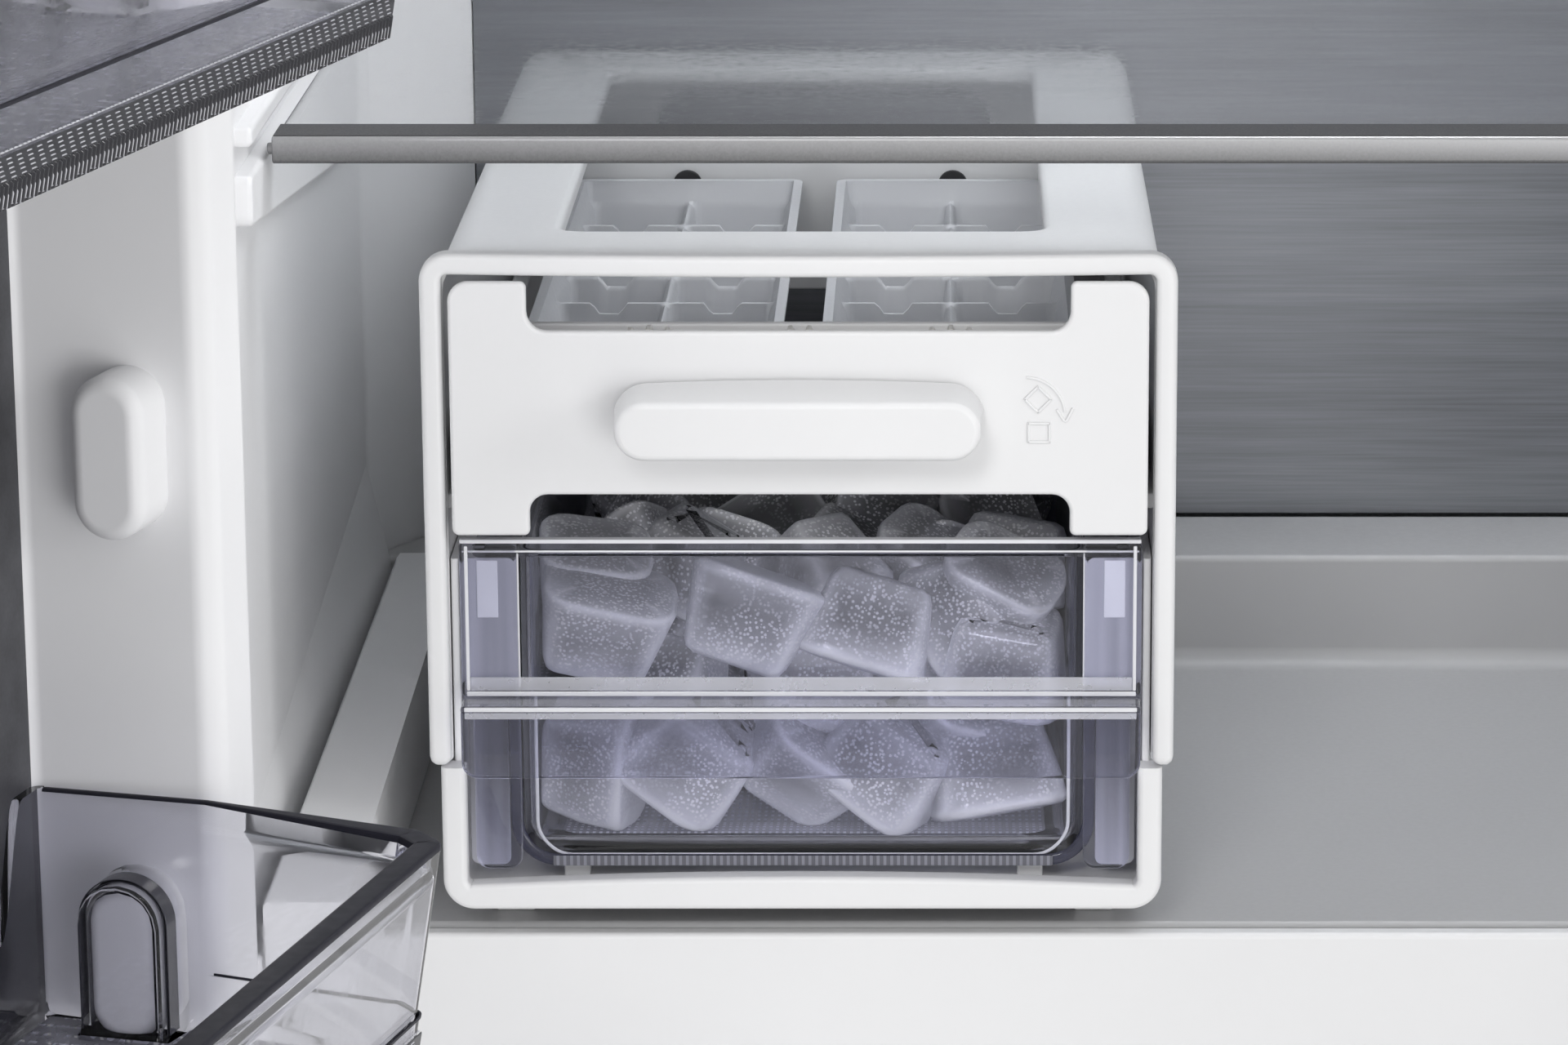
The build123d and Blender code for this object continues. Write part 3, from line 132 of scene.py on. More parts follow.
ICE_BIN = "bin_clear"
DOOR_BIN = "door_bin_clear"
FINISHES = {
    finish.slot: finish
    for finish in (
        Finish("white_enamel", (0.80, 0.80, 0.79), roughness=0.32, relief=0.03),
        Finish("liner_white", (0.86, 0.86, 0.87), roughness=0.38),
        Finish("moulded_white", (0.765, 0.765, 0.77), roughness=0.36),
        Finish("galvanised", (0.48, 0.50, 0.52), Grain.SATIN, 0.42, 1.0, contrast=0.12),
        Finish("brushed", (0.215, 0.222, 0.24), Grain.BRUSHED, 0.45, 0.6, contrast=0.3),
        Finish("trim_metal", (0.27, 0.27, 0.275), Grain.SATIN, 0.42, 0.7, contrast=0.16),
        Finish("tube_aluminium", (0.62, 0.63, 0.65), Grain.SATIN, 0.35, 1.0, contrast=0.08),
        Finish("insulation", (0.75, 0.69, 0.52), Grain.CELLULAR, 0.85, contrast=0.12),
        Finish("grey_board", (0.35, 0.36, 0.37), roughness=0.6),
        Finish("black_plastic", (0.022, 0.022, 0.024), roughness=0.48, contrast=0.2),
        Finish("compressor_black", (0.018, 0.018, 0.020), Grain.SATIN, 0.36, contrast=0.2),
        Finish("heater_steel", (0.42, 0.41, 0.40), Grain.SATIN, 0.3, 1.0, contrast=0.1),
        Finish("lens_opal", (0.86, 0.87, 0.88), roughness=0.5),
        Finish("gasket_grey", (0.46, 0.46, 0.47), roughness=0.6),
        Finish("tray_white", (0.56, 0.565, 0.585), roughness=0.4),
        Finish("gear_white", (0.74, 0.73, 0.70), roughness=0.45),
        Finish("spring_steel", (0.55, 0.55, 0.56), Grain.SATIN, 0.25, 1.0, contrast=0.06),
        # The deck's finish is the liner's white made darker: painted shade for the dimmer light on the deck.
        Finish("deck_painted_shade", (0.44, 0.44, 0.445), roughness=0.38, parent="liner_white"),
        Finish("trim_cap", (0.045, 0.045, 0.047), Grain.SATIN, 0.5, ior=1.3, parent="trim_metal"),
        # Trim front: painted highlight along its top, fading to painted shade below.
        Finish("trim_front", (0.27, 0.27, 0.275), Grain.FADE, 0.42, 0.7, contrast=0.4, parent="trim_metal"),
        Finish("door_plate", (0.085, 0.086, 0.095), Grain.BRUSHED, 0.45, 0.5, contrast=0.4, parent="brushed"),
        clear("glass_clear", (0.86, 0.87, 0.88), 0.02, 1.0, ior=1.5, contrast=0.01, shadow=0.93),
        clear(ICE_BIN, (0.89, 0.895, 0.945), 0.02, 1.0, relief=0.01, shadow=0.93),
        clear("bin_wall", (0.72, 0.724, 0.815), 0.02, 1.0, relief=0.01, shadow=1.35, rim=0.3, parent=ICE_BIN),
        # Pale bars of painted highlight on the bin's edges.
        clear("bin_bead", (0.93, 0.935, 0.97), 0.1, 0.25, contrast=0.01, shadow=0.9, parent=ICE_BIN),
        clear("bin_smoke", (0.16, 0.163, 0.24), 0.04, 0.8, shadow=1.5, parent=ICE_BIN),
        # Pale strips: painted light for the bright bands at the ledge and skirt.
        clear("bin_haze", (0.84, 0.843, 0.88), 0.3, 0.7, shadow=1.1, rim=0.5, parent=ICE_BIN),
        # Opaque flanks painted with what the clear sides show: painted shade at the step, painted light and
        # reflections elsewhere.
        clear(
            "bin_flank", (0.12, 0.121, 0.134), 0.15, 0.0,
            grain=Grain.RISE, contrast=1.0, relief=0.02, parent=ICE_BIN,
        ),
        clear(
            "bin_floor", (0.74, 0.745, 0.82), 0.12, 0.4,
            grain=Grain.DIMPLED, contrast=0.15, relief=0.15, shadow=1.1, parent=ICE_BIN,
        ),
        clear(
            "bin_lip", (0.15, 0.152, 0.18), 0.2, 0.0,
            grain=Grain.DIMPLED, contrast=0.3, relief=0.15, parent=ICE_BIN,
        ),
        # Ice: a low base colour lifted by painted light from the attribute lit, with painted sheen at
        # glancing angles.
        clear(
            "ice", (0.57, 0.572, 0.59), 0.07, 0.55,
            grain=Grain.FROSTED, ior=1.36, contrast=0.25, relief=0.14, shadow=1.65, rim=0.8, parent=ICE_BIN,
        ),
        # Opaque, darker copy of the ice: painted shade for the pieces deeper in the bin and the gaps between
        # them.
        clear(
            "ice_shaded", (0.44, 0.44, 0.455), 0.15, 0.0,
            grain=Grain.FROSTED, ior=1.36, contrast=0.27, relief=0.12, parent=ICE_BIN,
        ),
        clear(DOOR_BIN, (0.79, 0.79, 0.83), 0.03, 1.0, contrast=0.03, relief=0.006),
        # Dark rim: painted shade for a thick clear rim.
        clear("rim_painted_shade", (0.022, 0.022, 0.03), 0.35, 0.0, ior=1.15, contrast=0.03, parent=DOOR_BIN),
        # Dark ribs: painted shade for clear prismatic ribs.
        clear("rib_painted_shade", (0.03, 0.03, 0.037), 0.12, 0.3, contrast=0.05, relief=0.02, parent=DOOR_BIN),
        # Bright facets: painted highlights on the clear front.
        clear("facet_painted_highlight", (0.60, 0.60, 0.64), 0.2, 0.0, contrast=0.05, relief=0.02, parent=DOOR_BIN),
        # Dark arches: painted shade where the clear end wall curves round the dome.
        clear("moat_painted_shade", (0.07, 0.07, 0.085), 0.06, 0.3, contrast=0.3, relief=0.3, parent=DOOR_BIN),
        clear(
            "grip_floor", (0.36, 0.36, 0.42), 0.14, 0.5,
            grain=Grain.GRIP, contrast=0.6, relief=0.30, shadow=0.6, parent=DOOR_BIN,
        ),
    )
}


class Signal:
    """A value in a node tree that takes plain arithmetic, one maths node for each step.

    Args:
        sheet: The sheet that further nodes go on.
        socket: The socket that the value comes out of.
    """

    def __init__(self, sheet: "NodeSheet", socket: bpy.types.NodeSocket) -> None:
        """Keep the sheet and the socket."""
        self.sheet = sheet
        self.socket = socket

    def math(self, operation: str, other: "Signal | float" = 0.0) -> "Signal":
        """Put the value and another one through a maths node."""
        return self.sheet.math(operation, self, other)

    def __add__(self, other: "Signal | float") -> "Signal":
        """Add another value."""
        return self.math("ADD", other)

    def __sub__(self, other: "Signal | float") -> "Signal":
        """Take another value away."""
        return self.math("SUBTRACT", other)

    def __mul__(self, other: "Signal | float") -> "Signal":
        """Multiply by another value."""
        return self.math("MULTIPLY", other)

    def __truediv__(self, other: "Signal | float") -> "Signal":
        """Divide by another value."""
        return self.math("DIVIDE", other)


class NodeSheet:
    """Short way to place and wire nodes in a node tree.

    Args:
        tree: The node tree to fill.
    """

    def __init__(self, tree: bpy.types.NodeTree) -> None:
        """Keep the tree."""
        self.tree = tree

    def add(self, kind: str, settings: dict | None = None, **inputs: object) -> bpy.types.Node:
        """Add a node.

        Args:
            kind: Node type without its ShaderNode prefix, or a full type name.
            settings: Node properties to set.
            inputs: Values or signals, by socket name with underscores for spaces, or by i and number.

        Returns:
            The new node.
        """
        node = self.tree.nodes.new(kind if kind.startswith("Node") else "ShaderNode" + kind)
        for key, value in (settings or {}).items():
            setattr(node, key, value)
        for key, value in inputs.items():
            number = key[1:]
            socket = node.inputs[int(number) if number.isdigit() else key.replace("_", " ")]
            if isinstance(value, Signal):
                self.tree.links.new(value.socket, socket)
            else:
                socket.default_value = value
        return node

    def out(self, kind: str, output: str | int = 0, settings: dict | None = None, **inputs: object) -> Signal:
        """Add a node and take one of its outputs.

        Args:
            kind: Node type, as for add.
            output: Name or number of the output.
            settings: Node properties to set.
            inputs: Values or signals, as for add.

        Returns:
            The output.
        """
        return Signal(self, self.add(kind, settings, **inputs).outputs[output])

    def math(self, operation: str, first: Signal | float, second: Signal | float = 0.0) -> Signal:
        """Put two values through a maths node."""
        return self.out("Math", 0, {"operation": operation}, i0=first, i1=second)

    def axes(self, place: Signal) -> list[Signal]:
        """Split a place into its three coordinates."""
        return [Signal(self, socket) for socket in self.add("SeparateXYZ", None, Vector=place).outputs]


Relief = tuple[Signal, Signal, Signal]


class GrainSheet(NodeSheet):
    """Node group of one kind of grain, made by the method that has the grain's name.

    Each of these methods returns a tint factor, a roughness offset and a height, in this order.

    Args:
        grain: The kind of grain.
    """

    made: dict[Grain, bpy.types.NodeTree] = {}

    def __init__(self, grain: Grain) -> None:
        """Make the group's sockets, the grain's own nodes and the links between them."""
        super().__init__(bpy.data.node_groups.new("grain_" + grain.value, "ShaderNodeTree"))
        names = ("Tint", "Gloss", "Height")
        for name in names:
            self.tree.interface.new_socket(name, in_out="OUTPUT", socket_type="NodeSocketFloat")
        self.where = self.out("TexCoord", "Object")
        self.add("NodeGroupOutput", None, **dict(zip(names, getattr(self, grain.value)())))

    @classmethod
    def get(cls, grain: Grain) -> bpy.types.NodeTree:
        """Make or reuse the group of a kind of grain."""
        if grain not in cls.made:
            cls.made[grain] = cls(grain).tree
        return cls.made[grain]

    def noise(self, scale: float, stretch: tuple = (1, 1, 1), detail: float = 2) -> Signal:
        """Make noise about 0.

        Args:
            scale: Waves to the metre, about.
            stretch: Factor on the scale along each axis.
            detail: Levels of finer noise.

        Returns:
            The noise.
        """
        spot = self.out("Mapping", Vector=self.where, Scale=stretch)
        return self.out("TexNoise", "Fac", Vector=spot, Scale=scale, Detail=detail) - 0.5

    def comb(self, place: Signal, pitch: float, share: float) -> Signal:
        """Make even bars along a coordinate.

        Args:
            place: The coordinate.
            pitch: Distance from bar to bar in metres.
            share: Half width of a bar as a share of the pitch.

        Returns:
            1 on a bar and 0 beside it.
        """
        inside = (place / pitch).math("FRACT")
        return (inside - 0.5).math("ABSOLUTE").math("LESS_THAN", share)

    def moulded(self) -> Relief:
        """Fine even stipple under a broad cloud."""
        fine = self.noise(500, detail=3)
        return self.noise(9), fine, fine

    def brushed(self) -> Relief:
        """Lines along x, fine and broad, under a cloud."""
        lines = self.noise(900, (0.02, 1, 1), 4)
        broad = self.noise(90, (0.02, 1, 1))
        return lines * 1.2 + broad + self.noise(5, detail=3) * 0.5, lines, lines

    def satin(self) -> Relief:
        """Very fine stipple."""
        fine = self.noise(1400, detail=3)
        return fine + self.noise(12, detail=3) * 0.4, fine, fine

    def pane(self) -> Relief:
        """Slow waves of a moulded clear wall."""
        wave, fine = self.noise(28), self.noise(260)
        return wave, fine, wave + fine * 0.15

    def frosted(self) -> Relief:
        """Pale specks in patches, and a painted glow where the mesh attribute lit is high: painted light."""
        cells = self.out("TexVoronoi", "Distance", Vector=self.where, Scale=800)
        broad = self.noise(45)
        frost = cells.math("LESS_THAN", 0.38) * (broad * 3.0 + 0.5).math("MAXIMUM", 0.0)
        lit = self.out("Attribute", "Fac", {"attribute_name": "lit"})
        return (frost - 0.2) * 2.4 + broad + lit * 3.0, broad * 0.6, frost

    def grip(self) -> Relief:
        """Rows along the open door: broken dashes, and dots on a slant."""
        turned = self.out("Mapping", Vector=self.where, Rotation=(0, 0, DOOR_OPEN))
        along, across, _ = self.axes(turned)
        row = self.comb(along, 0.0063, 0.12)
        dots = row * self.comb(across - along * 0.46, 0.0073, 0.06)
        squeezed = self.out("Mapping", Vector=turned, Scale=(160, 420, 1))
        spread = self.out("TexNoise", "Fac", Vector=squeezed, Scale=1.0, Detail=1.0)
        dash = row * spread.math("GREATER_THAN", 0.5)
        return dash + dots * 3.0, spread, spread * 0.1 + dash

    def dimpled(self) -> Relief:
        """Small pads in rows along x and y."""
        x, y, _ = self.axes(self.where)
        pads = self.comb(x, 0.0021, 0.22) * self.comb(y, 0.0042, 0.22)
        return pads - 0.3, pads, pads

    def rise(self) -> Relief:
        """Painted shade at the ice bin's step and painted light below and above it, with upright streaks of
        painted reflection.
        """
        z = self.axes(self.where)[2]
        below = self.math("SUBTRACT", 0.985, z) / 0.035
        above = (z - 1.003) * 100.0
        level = below.math("MAXIMUM", above).math("MINIMUM", 1.0).math("MAXIMUM", 0.0)
        streak = self.noise(230, (1, 1, 0.03), 1)
        return level + streak, streak, streak

    def fade(self) -> Relief:
        """Painted highlight towards the top of each shelf's trim, fading to painted shade below, under fine
        stipple.
        """
        pitch = (self.axes(self.where)[2] - 1.1714) / 0.3066
        share = pitch.math("FRACT") * 37.4
        fine = self.noise(1400, detail=3)
        return (share - 0.55) * 1.2 + fine * 0.4, fine, fine

    def cellular(self) -> Relief:
        """Cells of rigid foam."""
        cells = self.out("TexVoronoi", "Distance", Vector=self.where, Scale=700)
        tint = cells - 0.4 + self.noise(20, detail=3)
        return tint, tint, cells


def make_material(finish: Finish) -> bpy.types.Material:
    """Build the procedural material of a finish.

    Args:
        finish: What it should look like.

    Returns:
        The material.
    """
    material = bpy.data.materials.new(finish.slot)
    material.use_nodes = True
    material.node_tree.nodes.clear()
    sheet = NodeSheet(material.node_tree)
    grain = sheet.add("Group", {"node_tree": GrainSheet.get(finish.grain)})
    tint, gloss, height = (Signal(sheet, socket) for socket in grain.outputs)
    level = tint * (2 * finish.contrast) + 1.0
    mix = {"data_type": "RGBA", "blend_type": "MULTIPLY", "clamp_result": True}
    rough = (gloss * 0.25 + finish.roughness).math("MAXIMUM", 0.01)
    surface = sheet.out(
        "BsdfPrincipled",
        Base_Color=sheet.out("Mix", 2, mix, Factor=1.0, i6=(*finish.colour, 1), i7=level),
        Roughness=rough,
        Normal=sheet.out("Bump", Height=height, Distance=finish.relief * MM, Strength=0.6),
        Metallic=finish.metallic,
        IOR=finish.ior,
        Transmission_Weight=finish.transmission,
    )
    # Painted sheen: a pale diffuse layer mixed in at glancing angles, standing in for reflected light.
    if finish.rim > 0:
        pale = sheet.out("BsdfPrincipled", Base_Color=(0.80, 0.81, 0.86, 1), Roughness=0.3)
        facing = sheet.out("LayerWeight", "Facing", Blend=0.5)
        surface = sheet.out("MixShader", i0=facing.math("POWER", 2.0) * finish.rim, i1=surface, i2=pale)
    if finish.transmission > 0.5:
        let_on = (*[min(0.97, part * finish.shadow) for part in finish.colour], 1)
        through = sheet.out("BsdfTransparent", Color=let_on)
        shadow_ray = sheet.out("LightPath", "Is Shadow Ray")
        surface = sheet.out("MixShader", i0=shadow_ray, i1=surface, i2=through)
    sheet.add("OutputMaterial", None, Surface=surface)
    return material


class Paint:
    """The materials of the scene, one for each finish."""

    made: dict[str, bpy.types.Material] = {}

    @classmethod
    def on(cls, piece: bpy.types.Object, slot: str) -> bpy.types.Object:
        """Give a piece the material of a finish.

        Args:
            piece: Mesh object.
            slot: Name of the finish.

        Returns:
            The same object.
        """
        finish = FINISHES[slot]
        if slot not in cls.made:
            cls.made[slot] = make_material(finish)
        piece.data.materials.clear()
        piece.data.materials.append(cls.made[slot])
        return piece


@dataclass(frozen=True)
class Outline:
    """A flat line and, at each of its points, the direction that faces outward.

    Args:
        points: Places along the line, in millimetres.
        normals: Outward direction at each place; longer than 1 at a sharp corner.
        closed: Whether the last point joins the first.
    """

    points: np.ndarray
    normals: np.ndarray
    closed: bool = True


def rounded_outline(
    corners: Places, radii: Numbers | float, steps: int = 6, closed: bool = True
) -> Outline:
    """Round the corners of a polygon.

    Each rounded corner is an arc that touches both of its sides, walked from the side before to
    the side after; outward is to the right of the walking direction.

    Args:
        corners: Corner points, anticlockwise when closed.
        radii: One radius for all corners or one for each; 0 keeps a corner sharp.
        steps: Segments in each arc.
        closed: Whether the last corner joins the first.

    Returns:
        The outline.
    """
    corners = np.asarray(corners, float)
    radii = np.broadcast_to(np.asarray(radii, float), (len(corners),))
    points, normals = [], []
    for number, (corner, radius) in enumerate(zip(corners, radii)):
        before = corner - corners[number - 1]
        after = corners[(number + 1) % len(corners)] - corner
        if not closed and number == 0:
            before = after
        if not closed and number == len(corners) - 1:
            after = before
        before = before / np.hypot(*before)
        after = after / np.hypot(*after)
        turn = math.atan2(before[0] * after[1] - before[1] * after[0], before @ after)
        first = np.array([before[1], -before[0]])
        last = np.array([after[1], -after[0]])
        if radius <= 0 or abs(turn) < 1e-4:
            points.append(corner[None])
            normals.append(((first + last) / (1 + first @ last))[None])
            continue
        side = math.copysign(1, turn)
        centre = corner - before * radius * math.tan(abs(turn) / 2) - side * first * radius
        angles = np.linspace(0, turn, steps + 1)[:, None]
        way = np.cos(angles) * first + np.sin(angles) * np.array([-first[1], first[0]])
        points.append(centre + side * radius * way)
        normals.append(way)
    return Outline(np.concatenate(points), np.concatenate(normals), closed)


def rounded_line(points: Places, radii: Numbers, steps: int = 4) -> tuple[np.ndarray, np.ndarray]:
    """Round the bends of an open line of (offset, depth) pairs and return its two columns."""
    line = rounded_outline(points, radii, steps, closed=False).points
    return line[:, 0], line[:, 1]


def rectangle(low: Numbers, high: Numbers, radius: float = 0.0, steps: int = 6) -> Outline:
    """Rounded rectangle between two opposite corners."""
    corners = [(low[0], low[1]), (high[0], low[1]), (high[0], high[1]), (low[0], high[1])]
    return rounded_outline(corners, radius, steps)


def circle(centre: Numbers, radius: float, steps: int = 32) -> Outline:
    """Circle round a centre."""
    angles = np.linspace(0, 2 * math.pi, steps, endpoint=False)
    way = np.stack([np.cos(angles), np.sin(angles)], axis=1)
    return Outline(np.asarray(centre, float) + radius * way, way)


def pill(centre: Numbers, length: float, width: float, upright: bool = False, steps: int = 10) -> Outline:
    """Slot shape with round ends."""
    half = np.array([width, length] if upright else [length, width]) / 2
    return rectangle(centre - half, centre + half, width / 2 - 0.001, steps)


def ease(share: np.ndarray) -> np.ndarray:
    """Smooth step from 0 to 1: three times the square less two times the cube."""
    share = np.clip(share, 0.0, 1.0)
    return share * share * (3 - 2 * share)


class Shell:
    """Collects closed surfaces for one piece, in millimetres.

    Args:
        name: Name of the piece.
        axes: How outlines lie at first.
        on_door: Whether the coordinates are the door's own axes.
        middle: Where x is 0 in the coordinates.
    """

    def __init__(
        self, name: str, axes: Axes = Axes.PLAN, on_door: bool = False, middle: float = 0.0
    ) -> None:
        """Start with no surface."""
        self.name = name
        self.axes = axes
        self.on_door = on_door
        self.middle = middle
        self.places: list[np.ndarray] = []
        self.faces: list[list[int]] = []
        self.lit: list[np.ndarray] = []
        self.count = 0

    def lay(self, axes: Axes) -> "Shell":
        """Choose how the outlines that follow lie."""
        self.axes = axes
        return self

    def grid(
        self,
        grid: np.ndarray,
        rows_join: bool = False,
        columns_join: bool = False,
        caps: Sequence[str] = (),
    ) -> None:
        """Add a surface given by a grid of places.

        Args:
            grid: Array of rows x columns x (outline axis 1, outline axis 2, depth).
            rows_join: Whether the last row joins the first.
            columns_join: Whether the last column joins the first.
            caps: Which of "first", "last" rows and "left", "right" columns get a flat cap.
        """
        rows, columns = grid.shape[:2]
        index = self.count + np.arange(rows * columns).reshape(rows, columns)
        world = np.empty((rows * columns, 3))
        world[:, list(self.axes.value)] = grid.reshape(-1, 3)
        self.places.append(world)
        self.count += rows * columns
        net = np.concatenate([index, index[:1]]) if rows_join else index
        net = np.concatenate([net, net[:, :1]], axis=1) if columns_join else net
        quads = np.stack([net[:-1, :-1], net[:-1, 1:], net[1:, 1:], net[1:, :-1]], axis=-1)
        self.faces += quads.reshape(-1, 4).tolist()
        ends = {"first": index[0], "last": index[-1], "left": index[:, 0], "right": index[:, -1]}
        self.faces += [ends[cap].tolist() for cap in caps]

    def carried(
        self,
        outline: Outline,
        offsets: np.ndarray,
        depths: np.ndarray,
        loop: bool = False,
        caps: Sequence[str] = ("first", "last"),
    ) -> None:
        """Carry a profile round an outline.

        A place is the outline's point moved outward by the profile's offset, at its depth.

        Args:
            outline: Line to follow.
            offsets: Outward move of each profile row, or of each row and outline point.
            depths: Depth of each profile row, or of each row and outline point.
            loop: Whether the profile closes on itself.
            caps: Flat caps to add.
        """
        offsets, depths = (
            np.asarray(value, float) if np.ndim(value) > 1 else np.asarray(value, float)[:, None]
            for value in (offsets, depths)
        )
        flat = outline.points[None] + offsets[..., None] * outline.normals[None]
        depths = np.broadcast_to(depths, flat.shape[:2])
        grid = np.concatenate([flat, depths[..., None]], axis=-1)
        self.grid(grid, rows_join=loop, columns_join=outline.closed, caps=caps)

    def plate(
        self, outline: Outline, low: float, high: float, edge: float = 0.6, low_edge: float | None = None
    ) -> None:
        """Add a solid plate with rounded rims.

        Args:
            outline: Shape of the plate.
            low: Lower depth.
            high: Upper depth.
            edge: Rim radius at the upper depth, and at the lower one unless that is given.
            low_edge: Rim radius at the lower depth.
        """
        low_edge = edge if low_edge is None else low_edge
        quarter = np.linspace(0, math.pi / 2, 4 if max(edge, low_edge) < 2 else 7)
        offsets = [low_edge * (np.sin(quarter) - 1), edge * (np.cos(quarter) - 1)]
        depths = [low + low_edge * (1 - np.cos(quarter)), high - edge * (1 - np.sin(quarter))]
        self.carried(outline, np.concatenate(offsets), np.concatenate(depths))

    def box(self, low: Numbers, high: Numbers, edge: float = 0.6) -> None:
        """Add a box with rounded rims, given by opposite corners in world order."""
        first, second, depth = self.axes.value
        outline = rectangle((low[first], low[second]), (high[first], high[second]), edge, 3)
        self.plate(outline, low[depth], high[depth], edge)

    def _round_ends(self, path: Outline, thickness: np.ndarray, end: float) -> list[np.ndarray]:
        """Give a path three more points at each end, where a bar's section shrinks.

        The points stand on a quarter circle's sines and the shrinking on its cosines. The path is
        turned round after its first end is done, so that both ends are worked out alike.

        Args:
            path: The open path.
            thickness: Thickness at each point.
            end: Radius of the rounding.

        Returns:
            The points, their normals, the thickness and the shrinking.
        """
        angles = np.radians([90.0, 60.0, 30.0])
        kept = [path.points, path.normals, thickness, np.zeros(len(path.points))]
        for _ in range(2):
            tip = kept[0][0]
            way = (tip - kept[0][1]) / np.hypot(*(tip - kept[0][1]))
            kept[0] = np.concatenate([[tip - way * end], kept[0][1:]])
            added = [
                tip - way * end * (1 - np.sin(angles))[:, None],
                np.repeat(kept[1][:1], 3, 0),
                np.repeat(kept[2][:1], 3),
                end * (1 - np.cos(angles)),
            ]
            kept = [np.concatenate(pair)[::-1] for pair in zip(added, kept)]
        return kept

    def bar(
        self,
        path: Outline,
        thickness: Numbers | float,
        low: float,
        high: float,
        edge: float = 1.0,
        end: float = 0.0,
    ) -> None:
        """Add a bar with rounded rims along a path.

        The section is a rounded rectangle, from the path outward by the thickness and from the
        low to the high depth. At round ends it shrinks about its middle as a quarter circle does.

        Args:
            path: Line to follow.
            thickness: Outward thickness, one value or one for each point; below 0 goes inward.
            low: Lower depth.
            high: Upper depth.
            edge: Rim radius.
            end: Radius of the rounding at the path's two ends.
        """
        points, normals = path.points, path.normals
        thickness = np.broadcast_to(np.asarray(thickness, float), (len(points),))
        shrink = np.zeros(len(points))
        if end > 0:
            points, normals, thickness, shrink = self._round_ends(path, thickness, end)
        quarter = np.linspace(0, math.pi / 2, 4)
        share, shift, depth = [], [], []
        for far, deep, quarters in ((0, 0, 2), (1, 0, 3), (1, 1, 0), (0, 1, 1)):
            angle = quarters * math.pi / 2 + quarter
            share.append(np.full(4, float(far)))
            shift.append((-edge if far else edge) + edge * np.cos(angle))
            depth.append((high - edge if deep else low + edge) + edge * np.sin(angle))
        share, shift, depth = (np.concatenate(part)[:, None] for part in (share, shift, depth))
        sign = np.sign(thickness)
        size = np.abs(thickness)
        offsets = share * size + shift
        offsets = size / 2 + (offsets - size / 2) * (1 - shrink / (size / 2)).clip(0.05)
        middle = (low + high) / 2
        depths = middle + (depth - middle) * (1 - shrink / ((high - low) / 2)).clip(0.05)
        caps = () if path.closed else ("left", "right")
        outline = Outline(points, normals, path.closed)
        self.carried(outline, offsets * sign, depths, loop=True, caps=caps)

    def make(self, slot: str, body: str, *nodes: str, smooth: float = 38.0) -> bpy.types.Object:
        """Turn the collected surfaces into a finished piece.

        Args:
            slot: Name of the finish.
            body: Moving body the piece rides on.
            nodes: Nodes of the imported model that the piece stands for.
            smooth: Edges that bend less than this many degrees are shaded smooth.

        Returns:
            The object.
        """
        places = np.concatenate(self.places) + [self.middle, 0, 0]
        if self.on_door:
            places = door_to_world(places)
        mesh = bpy.data.meshes.new(self.name)
        mesh.from_pydata((places * MM).tolist(), [], self.faces)
        work = bmesh.new()
        work.from_mesh(mesh)
        bmesh.ops.recalc_face_normals(work, faces=work.faces)
        work.to_mesh(mesh)
        work.free()
        mesh.shade_smooth()
        mesh.set_sharp_from_angle(angle=math.radians(smooth))
        piece = bpy.data.objects.new(self.name, mesh)
        bpy.context.scene.collection.objects.link(piece)
        weighted = piece.modifiers.new("weighted_normals", "WEIGHTED_NORMAL")
        weighted.keep_sharp = True
        Paint.on(piece, slot)
        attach(piece, body)
        # The attribute lit carries painted light, read by the frosted grain.
        if self.lit:
            shade = mesh.attributes.new("lit", "FLOAT", "POINT")
            shade.data.foreach_set("value", np.concatenate(self.lit).astype(np.float32))
        if nodes:
            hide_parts(*nodes)
        return piece


def door_to_world(places: np.ndarray) -> np.ndarray:
    """Turn places from the door's own axes, x from the hinge and y inward, to where it stands.

    Args:
        places: Rows of x, y and z in millimetres.

    Returns:
        The turned rows.
    """
    out = np.array(places, float)
    cosine, sine = math.cos(DOOR_OPEN), math.sin(DOOR_OPEN)
    out[:, 0] = HINGE[0] + places[:, 0] * cosine + places[:, 1] * sine
    out[:, 1] = HINGE[1] - places[:, 0] * sine + places[:, 1] * cosine
    return out


def paint_frame() -> None:
    """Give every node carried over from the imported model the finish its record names."""
    for name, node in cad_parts.items():
        slot = node.data.materials[0].name.split(".")[0]
        slot = "door_plate" if name == "door_inner_plate" else slot
        Paint.on(node, slot if slot in FINISHES else "moulded_white")


